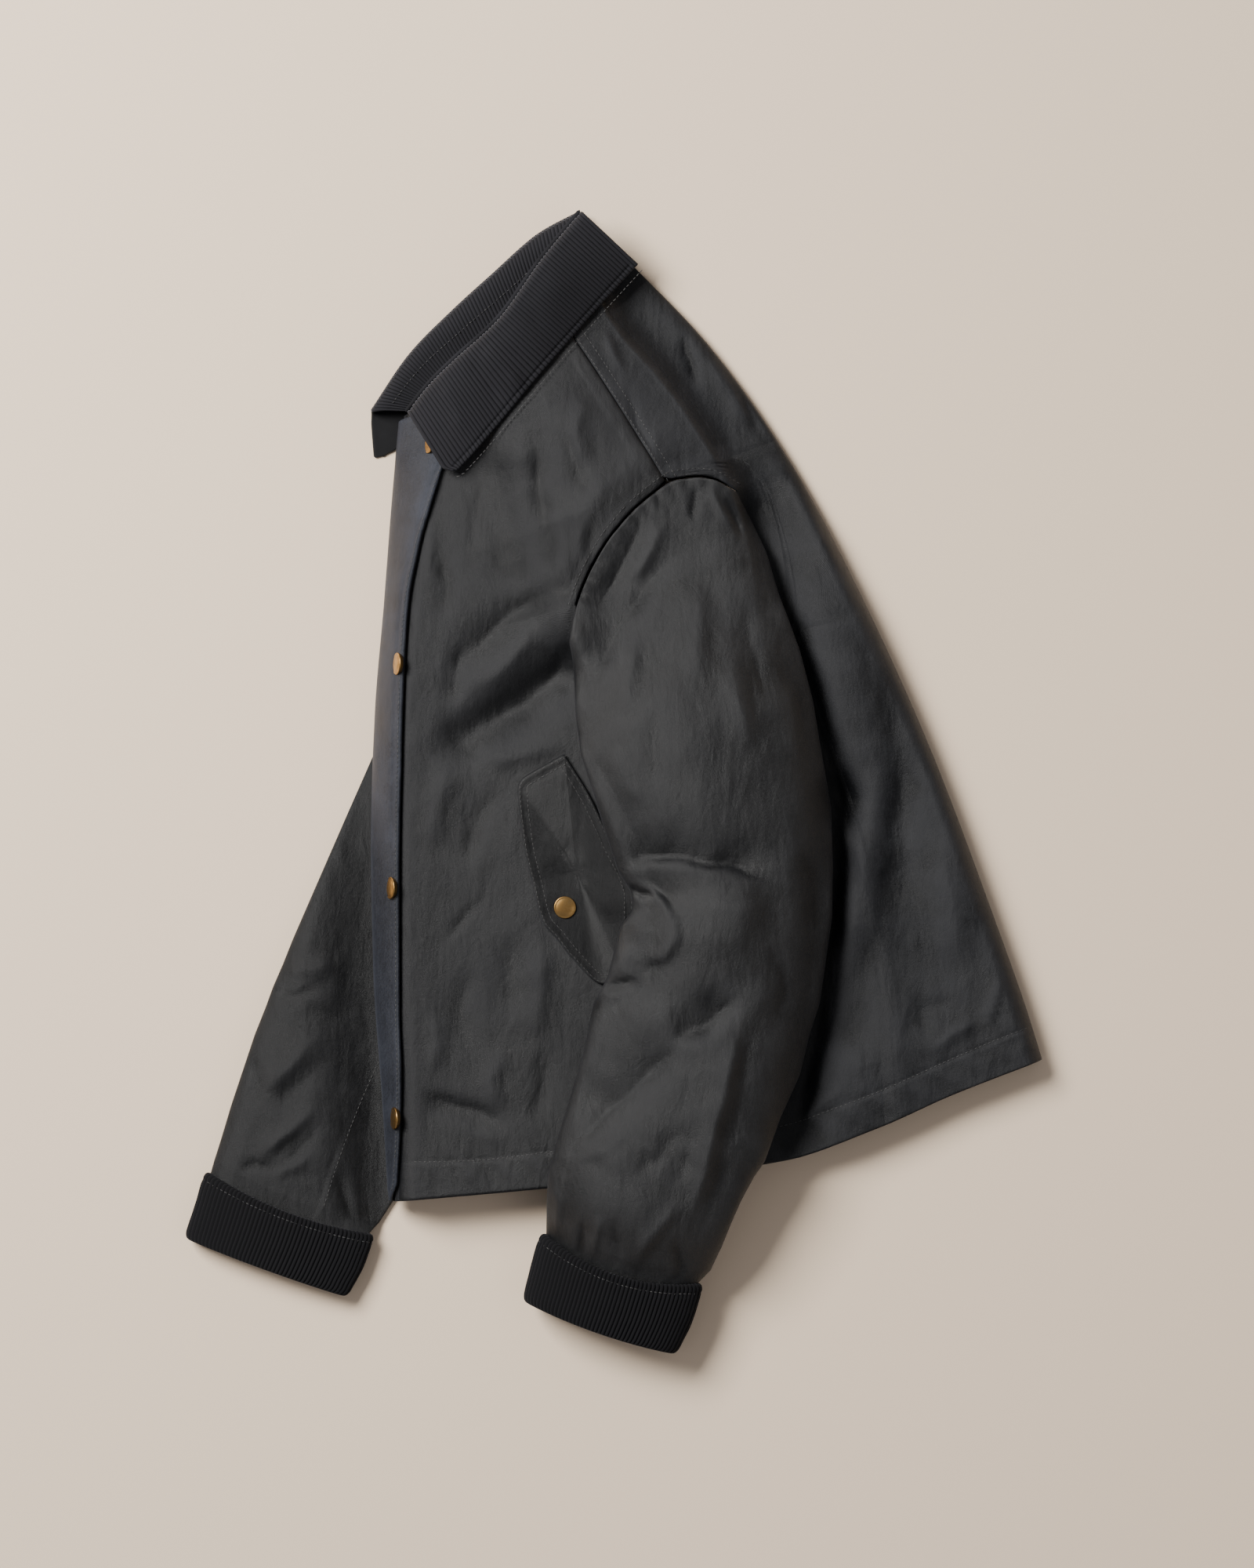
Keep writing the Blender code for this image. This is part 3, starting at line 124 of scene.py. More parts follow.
# distance outside a closed outline, 0 within it: a crossing test and the nearest side
def outsideOf(x, y, ring):
    x, y = np.asarray(x, float), np.asarray(y, float)
    inside = np.zeros(x.shape, bool)
    for (x0, y0), (x1, y1) in zip(ring, ring[1:] + ring[:1]):
        if y0 != y1:
            inside ^= ((y0 > y) != (y1 > y)) & (x < (x1 - x0) * (y - y0) / (y1 - y0) + x0)
    return np.where(inside, 0.0, np.abs(alongPath(x, y, ring + ring[:1])[0]))


# a bell: 1 at its middle, falling as exp(-(far / wide) squared)
def bell(far, wide):
    return np.exp(-(far / wide) ** 2)


# value between four knots of a grid, mixed by p along its first way and by q along its second
def mixKnots(grid, i0, j0, i1, j1, p, q):
    low = grid[i0, j0] * (1 - p) + grid[i1, j0] * p
    high = grid[i0, j1] * (1 - p) + grid[i1, j1] * p
    return low * (1 - q) + high * q


# steps of several densities end to end: each stretch is its first, its last and how many
def stepsOf(*stretches):
    parts = [np.linspace(*stretch) for stretch in stretches]
    return np.concatenate([part[:-1] for part in parts[:-1]] + parts[-1:])


ground = {
    "knots": 89,                     # along each side of the lattice, which then repeats
    "start": (400.3, 400.7),         # keeps every place on the plus side of its first knot
}


# uneven ground: random heights on a square lattice, blended by smooth steps between its knots
def uneven(x, y, size, seed):
    count = ground["knots"]
    knots = np.random.default_rng(seed).uniform(-1, 1, (count, count))
    u, v = np.asarray(x) / size + ground["start"][0], np.asarray(y) / size + ground["start"][1]
    i, j = np.floor(u).astype(int), np.floor(v).astype(int)
    p, q = ease(u - i), ease(v - j)
    return mixKnots(knots, i % count, j % count, (i + 1) % count, (j + 1) % count, p, q)


# waxed cloth's crumple: broad slanted swells, long folds as 1 less the size of a stretched
# uneven ground, and thin crisp lines where a finer one crosses its middle
def crumple(x, y, seed):
    cosine, sine = 0.83, 0.55        # of the slant
    u, v = x * cosine + y * sine, y * cosine - x * sine
    broad = uneven(u * 0.8, v, 70.0, seed) * 1.5
    fold = 1 - np.abs(uneven(u * 0.45, v, 34.0, seed + 1)) * 2
    across = 1 - np.abs(uneven(u, v * 0.5, 41.0, seed + 2)) * 2
    line = np.exp(-np.abs(uneven(u, v * 0.6, 24.0, seed + 3)) * 14)
    where = ease(uneven(u, v, 55.0, seed + 4) * 1.4)
    return broad + 0.7 * fold + 0.5 * across + 0.55 * line * where


creasing = {
    "wander": (1.6, 17.0),           # how far a crease strays from its path, and over what length
    "shortest": 75.0,                # below this length it is narrower and lower
    "fade": 0.36,                    # share of its length over which each end fades
    "vary": (0.3, 23.0),             # unevenness of its height, and over what length
}


# creases from a table: along each path a soft bar, exp(-1.6 (d / width) squared), with a crisp
# line of exp(-3.2 |d| / width) on its crest, steeper on its left by lean, uneven along its
# length and fading to its ends; a short one is as much narrower and lower
def creaseHeight(x, y, table):
    total = np.zeros(np.shape(x))
    for number, (path, width, height, lean) in enumerate(table):
        far, along, length, _, _ = alongPath(x, y, path)
        far = far + creasing["wander"][0] * uneven(along, along * 0, creasing["wander"][1], 300 + number)
        short, fade = min(1.0, length / creasing["shortest"]), creasing["fade"] * length
        wide = 1.25 * width * (0.35 + 0.65 * short) * (1 - lean * np.sign(far))
        ends = ease(along / fade + 0.05) * ease((length - along) / fade + 0.05)
        ends = ends * (1 + creasing["vary"][0] * uneven(along, along * 0, creasing["vary"][1], 400 + number))
        bar = 0.95 * np.exp(-1.6 * (far / wide) ** 2) + 0.35 * np.exp(-3.2 * np.abs(far) / wide)
        total = total + height * (0.45 + 0.55 * short) * bar * ends
    return total


# sewn seam in relief: a groove on the line, a raised fold as wide as its topstitching on the
# left, and puckers as a sine along the seam that die away with distance
def seamRelief(x, y, path, fold=7.0, rise=0.7, pucker=0.3, pitch=13.0, seed=5):
    far, along, _, _, _ = alongPath(x, y, path)
    raised = rise * ease(far / 1.4) * (1 - ease((far - fold) / 2.4))
    groove = -0.3 * bell(far, 1.2)
    phase = uneven(along, along * 0, 31.0, seed) * 2.4
    waves = pucker * np.sin(along * 2 * np.pi / pitch + phase) * np.exp(-np.abs(far - fold / 2) / 9.0)
    return raised + groove + waves


# points even steps apart on a path through a few plan points
def evenPath(points, step=3.0):
    points = np.array(points, float)
    far = wayTo(points)
    table = [(d, p[0], p[1]) for d, p in zip(far, points)]
    at = np.linspace(0, far[-1], max(int(far[-1] / step), 4))
    return list(zip(readTable(at, table, 1).tolist(), readTable(at, table, 2).tolist()))


# unit normals of a grid of points: the cross product of the lines through each point
def gridNormals(grid):
    n = np.cross(np.gradient(grid, axis=0), np.gradient(grid, axis=1))
    return n / np.maximum(np.linalg.norm(n, axis=2, keepdims=True), 1e-9)


# how far a grid's points stand above those a few steps round them: crests plus, hollows minus
def crestMap(height, reach, scale):
    padded = np.pad(height, reach, mode="edge")
    mean = sum(
        padded[reach + a:reach + a + height.shape[0], reach + b:reach + b + height.shape[1]]
        for a, b in ((-reach, 0), (reach, 0), (0, -reach), (0, reach))
    ) / 4
    return np.clip((height - mean) / scale, -1, 1)


surfaces = {}    # outer face of each wall, by the piece's name


# a wall between two grids of the same shape: both faces, and strips round the open sides.
# Each corner's UV is the length of cloth to it, in metres, across and down the grid.
def wallPiece(name, outer, inner, finishes, closedRound=False, crest=None, innerFinish=0):
    surfaces[name] = outer
    rows, cols = outer.shape[:2]
    count = rows * cols
    number = np.arange(count).reshape(rows, cols)
    face = outer
    if closedRound:
        number, face = (np.concatenate([grid, grid[:, :1]], axis=1) for grid in (number, outer))
    u, v = wayTo(face, axis=1), wayTo(face)

    # the four corners of every cell of a grid
    def corners(a):
        return np.stack([a[:-1, :-1], a[:-1, 1:], a[1:, 1:], a[1:, :-1]], axis=-1).reshape(-1, 4)

    # the cells between two lines of a grid
    def strip(a, b):
        return np.stack([a[:-1], a[1:], b[1:], b[:-1]], axis=-1)

    faces = [corners(number), corners(number + count)[:, ::-1]]
    us = [corners(u), corners(u)[:, ::-1]]
    vs = [corners(v), corners(v)[:, ::-1]]
    edges = [(number[-1], u[-1], v[-1], True), (number[0], u[0], v[0], False)]
    if not closedRound:
        edges += [(number[:, 0], u[:, 0], v[:, 0], True), (number[:, -1], u[:, -1], v[:, -1], False)]
    for ids, eu, ev, forward in edges:
        for store, a, b in ((faces, ids, ids + count), (us, eu, eu), (vs, ev, ev)):
            side = strip(a, b) if forward else strip(a, b)[:, ::-1]
            store.append(side)
    sizes = [len(f) for f in faces]
    faces = np.concatenate(faces)
    points = np.concatenate([outer.reshape(-1, 3), inner.reshape(-1, 3)])
    shade = None if crest is None else np.concatenate([crest.ravel(), crest.ravel()])
    slots = np.repeat([0, innerFinish] + [0] * (len(sizes) - 2), sizes)
    uv = np.stack([np.concatenate(us), np.concatenate(vs)], axis=-1).reshape(-1, 2)
    return newPiece(name, points, faces, finishes, uv, shade, slots)


# writes points and faces to a mesh, smooth, with its UV map, crest attribute and finishes
def newPiece(name, points, faces, finishes, uv=None, shade=None, slots=None):
    mesh = bpy.data.meshes.new(name)
    place = (np.asarray(points) + np.array(placing["shift"])) * placing["unit"]
    mesh.from_pydata(place.tolist(), [], faces if isinstance(faces, list) else faces.tolist())
    mesh.polygons.foreach_set("use_smooth", np.ones(len(mesh.polygons), bool))
    if uv is not None:
        layer = mesh.uv_layers.new(name="clothLength")
        layer.data.foreach_set("uv", (uv * placing["unit"]).astype(np.float32).ravel())
    if shade is not None:
        attribute = mesh.attributes.new("crest", "FLOAT", "POINT")
        attribute.data.foreach_set("value", np.asarray(shade, np.float32))
    for finish in finishes:
        mesh.materials.append(finish)
    if slots is not None:
        mesh.polygons.foreach_set("material_index", np.asarray(slots, np.int32))
    mesh.update()
    obj = bpy.data.objects.new(name, mesh)
    bpy.context.scene.collection.objects.link(obj)
    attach(obj, "root")
    return obj


# a material being built: each maker adds a node, sets or links its inputs and gives its output
class Finish:
    # a plain shader, and the place on the object that every pattern starts from
    def __init__(self, name):
        self.made = bpy.data.materials.new(name)
        self.made.use_nodes = True
        self.tree = self.made.node_tree
        self.shader = self.tree.nodes["Principled BSDF"]
        self.place = self.node("TexCoord").outputs["Object"]

    # any node: its inputs by name or number, linked from an output or set to a value
    def node(self, kind, inputs=(), **settings):
        node = self.tree.nodes.new("ShaderNode" + kind)
        for key, value in settings.items():
            setattr(node, key, value)
        for key, value in dict(inputs).items():
            if isinstance(value, bpy.types.NodeSocket):
                self.tree.links.new(value, node.inputs[key])
            else:
                node.inputs[key].default_value = value
        return node

    # length of cloth across and down each piece, from its UV map
    def lengths(self):
        return self.node("UVMap", uv_map="clothLength").outputs["UV"]

    # crests plus and hollows minus, from the attribute of that name
    def crest(self):
        return self.node("Attribute", attribute_name="crest").outputs["Fac"]

    # fractal noise: features to a metre, octaves, weight of the finer ones, swirl
    def noise(self, place, scale, detail=2.0, roughness=0.5, distortion=0.0):
        return self.node("TexNoise", {"Vector": place, "Scale": scale, "Detail": detail,
            "Roughness": roughness, "Distortion": distortion}).outputs["Fac"]

    # one step of arithmetic on two or three values
    def maths(self, kind, *values, clamp=False):
        return self.node("Math", enumerate(values), operation=kind, use_clamp=clamp).outputs[0]

    # a place stretched by a scale after a turn about z
    def mapped(self, place, scale=(1.0, 1.0, 1.0), turn=0.0):
        return self.node("Mapping", {"Vector": place, "Rotation": (0, 0, turn), "Scale": scale}).outputs[0]

    # a colour ramp through a few (place, grey or colour) stops
    def ramp(self, factor, stops):
        node = self.node("ValToRGB", {"Fac": factor})
        elements = node.color_ramp.elements
        while len(elements) < len(stops):
            elements.new(0.5)
        for element, (place, value) in zip(elements, stops):
            element.position = place
            element.color = (*value, 1) if isinstance(value, tuple) else (value, value, value, 1)
        return node.outputs["Color"]

    # links an output to the shader
    def join(self, output, name):
        self.tree.links.new(output, self.shader.inputs[name])

    # reliefs laid one on another: height, strength, depth in metres, and True where it cuts in
    def relief(self, *layers):
        below = None
        for height, strength, depth, *cutIn in layers:
            node = self.node("Bump", {"Height": height, "Strength": strength, "Distance": depth},
                invert=bool(cutIn))
            if below:
                self.tree.links.new(below, node.inputs["Normal"])
            below = node.outputs[0]
        self.join(below, "Normal")

    # fixed values on the shader
    def shine(self, values):
        for name, value in values.items():
            self.shader.inputs[name].default_value = value


clothSheen = (0.86, 0.88, 1.0, 1)
waxedCotton = {
    "dark": (0.0030, 0.0031, 0.0035),    # cloth with fresh wax, and the painted shade of hollows
    "bloom": (0.0172, 0.0171, 0.0178),   # dry wax on rubbed and creased places, and the painted light of crests and the shoulder
    "roughness": (0.43, 0.60),
    "weave": 0.00062,                    # one thread to the next, in metres
    # noises: features to a metre, octaves, weight of the finer ones, swirl
    "cloud": (7.0, 4.0, 0.55, 0.5),
    "mottle": (46.0, 6.0, 0.62),
    "grain": (780.0, 4.0, 0.72),
    "slub": (1.0, 2.0, 0.6),
    "fine": (1.0, 3.0, 0.5, 0.6),
    "yarns": ((1500.0, 90.0, 1.0), (110.0, 1500.0, 1.0)),    # stretch of the slubs in both yarns
    "wrinkles": (((66.0, 22.0, 30.0), 0.5), ((74.0, 26.0, 30.0), -0.55), ((52.0, 24.0, 30.0), 1.4)),
    "crackle": 38.0,                     # cells to a metre
    "bent": (24.0, 3.0, 0.035),          # noise that bends their edges, and by how much
    # how much of each goes into the dry wax, and what is taken off their sum
    "lineShare": 0.16,
    "crestWearLightAndShadeShare": 0.40,
    "slubShare": 0.70,
    "grainShare": 1.15,
    "wet": 1.08,
    "slubRelief": 1.6,
    "shine": {"Sheen Weight": 0.05, "Sheen Roughness": 0.45, "Sheen Tint": clothSheen},
}


# waxed cotton: wax bloom in broad clouds, streaks of uneven yarn, fine crackle, crests paled as worn wax and
# painted light and hollows darkened as painted shade, over a dark ground, a grain of single threads, and
# gloss that changes with the wax
def makeWaxedCotton(name, tone=1.0, weaveTurn=0.0, tint=(1.0, 1.0, 1.0), gloss=0.38):
    cloth, look = Finish(name), waxedCotton
    lengths = cloth.mapped(cloth.lengths(), turn=weaveTurn)
    cloud, mottle, grain = (cloth.noise(cloth.place, *look[key]) for key in ("cloud", "mottle", "grain"))
    slub = cloth.maths("ADD", *(cloth.noise(cloth.mapped(lengths, size), *look["slub"])
                                for size in look["yarns"]))
    fine = [cloth.noise(cloth.mapped(cloth.place, size, turn), *look["fine"])
            for size, turn in look["wrinkles"]]
    wrinkle = cloth.maths("ADD", cloth.maths("ADD", fine[0], fine[1]), fine[2])
    scale, detail, much = look["bent"]
    shift = cloth.node("TexNoise", {"Vector": cloth.place, "Scale": scale, "Detail": detail}).outputs["Color"]
    bent = cloth.node("MixRGB", {0: much, 1: cloth.place, 2: shift}, blend_type="ADD").outputs[0]
    crackle = cloth.node("TexVoronoi", {"Vector": bent, "Scale": look["crackle"]},
        feature="DISTANCE_TO_EDGE").outputs["Distance"]
    cloudy = cloth.ramp(cloud, [(0.36, 0.0), (0.54, 0.45), (0.72, 1.0)])
    lines = cloth.maths("MULTIPLY", cloth.ramp(crackle, [(0.0, 1.0), (0.02, 0.35), (0.06, 0.0)]), cloudy)
    dry = cloth.maths("MULTIPLY", cloudy, cloth.ramp(mottle, [(0.34, 0.1), (0.66, 1.0)]))
    # the crest attribute pales crests as worn wax and painted light, darkens hollows as painted shade and
    # brings in the shoulder's painted light
    for part, share in ((lines, "lineShare"), (cloth.crest(), "crestWearLightAndShadeShare"), (slub, "slubShare"),
                        (grain, "grainShare")):
        dry = cloth.maths("MULTIPLY_ADD", part, look[share], dry)
    dry = cloth.maths("SUBTRACT", dry, look["wet"], clamp=True)
    dark, bloom = (tuple(c * tone * t for c, t in zip(look[key], tint)) for key in ("dark", "bloom"))
    middle = tuple((a + b) / 2 for a, b in zip(dark, bloom))
    cloth.join(cloth.ramp(dry, [(0.0, dark), (0.45, middle), (1.0, bloom)]), "Base Color")
    cloth.join(cloth.ramp(dry, list(zip((0.0, 1.0), look["roughness"]))), "Roughness")
    apart = cloth.node("SeparateXYZ", {"Vector": lengths}).outputs
    warp, weft = (cloth.maths("SINE", cloth.maths("MULTIPLY", apart[way], 2 * math.pi / look["weave"]))
                  for way in (0, 1))
    woven = cloth.maths("MULTIPLY_ADD", slub, look["slubRelief"], cloth.maths("MULTIPLY", warp, weft))
    cloth.relief((woven, 0.45, 0.00014), (mottle, 0.22, 0.0009), (lines, 0.20, 0.0004, True),
        (grain, 0.5, 0.0004), (wrinkle, 0.36, 0.0022))
    cloth.shine({"Specular IOR Level": gloss, **look["shine"]})
    return cloth.made


corduroy = {
    "pile": (0.0092, 0.0090, 0.0106),
    # the grooves' colour: painted shade
    "groove": (0.0013, 0.0013, 0.0016),
    "wornAndLitTops": 1.9,                         # how much paler the ribs' tops are: worn pile and painted light
    "wale": 2.8,                         # rib to rib, in millimetres
    "depth": 0.95,
    "tufts": (900.0, 240.0, 1.0),        # tufts to a metre across and down
    "tuftShare": 0.35,
    "rubbedShare": 0.5,
    "shine": {"Roughness": 0.92, "Specular IOR Level": 0.18, "Sheen Weight": 0.11, "Sheen Roughness": 0.38,
        "Sheen Tint": clothSheen},
}


# corduroy: painted shade in the grooves, ribs paler to their tops as worn pile and painted light, short pile
# in fine noise
def makeCorduroy(name="corduroy", tone=1.0):
    cloth, look = Finish(name), corduroy
    # slow patches of paler, worn pile
    wearAndPaintedLight = cloth.noise(cloth.place, 26.0, 4.0, 0.6)
    pile = cloth.noise(cloth.place, 1500.0, 3.0, 0.7)
    tufts = cloth.noise(cloth.mapped(cloth.lengths(), look["tufts"]), 1.0)
    height = cloth.maths("MULTIPLY_ADD", tufts, look["tuftShare"], cloth.crest())
    height = cloth.maths("MULTIPLY_ADD", wearAndPaintedLight, look["rubbedShare"], height)
    ribs = tuple(c * tone for c in look["pile"])
    pale = tuple(c * look["wornAndLitTops"] for c in ribs)
    # rib height sets the colour: the grooves get painted shade, the tops painted light and wear
    cloth.join(cloth.ramp(height, [(0.34, look["groove"]), (0.85, ribs), (1.0, pale)]), "Base Color")
    cloth.relief((tufts, 0.5, 0.0003), (pile, 0.45, 0.00015))
    cloth.shine(look["shine"])
    return cloth.made


# under-collar: a dense dark felted cloth, clouded and lightly fibrous
def makeUnderCollar():
    cloth = Finish("underCollar")
    cloud = cloth.noise(cloth.place, 40.0, 5.0, 0.6)
    tones = [(0.3, (0.0045, 0.0045, 0.005)), (0.7, (0.009, 0.009, 0.010))]
    cloth.join(cloth.ramp(cloud, tones), "Base Color")
    cloth.relief((cloth.noise(cloth.place, 900.0, 4.0, 0.7), 0.4, 0.0002))
    cloth.shine({"Roughness": 0.9, "Specular IOR Level": 0.2, "Sheen Weight": 0.15})
    return cloth.made


# brass: clouded tarnish over a warm metal, brighter where it is rubbed, finely scratched
def makeBrass():
    metal = Finish("brass")
    tarnish = metal.noise(metal.place, 160.0, 5.0, 0.65)
    tones = [(0.3, (0.24, 0.135, 0.045)), (0.55, (0.42, 0.25, 0.09)), (0.75, (0.56, 0.36, 0.15))]
    metal.join(metal.ramp(tarnish, tones), "Base Color")
    metal.join(metal.ramp(tarnish, [(0.3, 0.46), (0.7, 0.26)]), "Roughness")
    scratch = metal.noise(metal.mapped(metal.place, (3000.0, 260.0, 260.0), 0.6), 1.0)
    metal.relief((scratch, 0.12, 0.0001))
    metal.shine({"Metallic": 1.0})
    return metal.made


# waxed thread: dark, a little glossy, twisted in fine slanted bands
def makeThread():
    yarn = Finish("waxedThread")
    twist = yarn.noise(yarn.place, 1100.0)
    yarn.join(yarn.ramp(twist, [(0.3, (0.020, 0.020, 0.022)), (0.7, (0.060, 0.058, 0.056))]), "Base Color")
    yarn.relief((twist, 0.3, 0.00015))
    yarn.shine({"Roughness": 0.5})
    return yarn.made


# one waxed cotton in copies with their own tone, tint and gloss; the faint blue tints are painted cool sky
# light
bodyCotton = makeWaxedCotton("waxedCottonBody", 0.8, 0.0, (0.96, 0.98, 1.05), 0.36)
backCotton = makeWaxedCotton("waxedCottonBack", 1.18, 0.0, (0.95, 0.98, 1.06), 0.28)
sleeveCotton = makeWaxedCotton("waxedCottonSleeve", 0.78, 0.12, (0.97, 0.99, 1.04), 0.40)
# the far sleeve's copy is darker: painted shade
farSleeveShadedCotton = makeWaxedCotton("waxedCottonFarSleeveShaded", 0.6, 0.12, (0.97, 0.99, 1.04), 0.32)
# the storm flap's copy is much paler and bluer: painted light and painted sky reflection on its steep edge
flapPaintedLightCotton = makeWaxedCotton("waxedCottonFlapPaintedLight", 2.35, 0.0, (0.81, 0.92, 1.21), 0.28)
liningCotton = makeWaxedCotton("waxedCottonInside", 0.8)
ribbed = makeCorduroy()
ribbedCuff = makeCorduroy("corduroyCuff", 0.36)
pocketCotton = makeWaxedCotton("waxedCottonPocket", 0.72, 0.3)
felted = makeUnderCollar()
brassMetal = makeBrass()
waxedThread = makeThread()
print("jacket: finishes made")


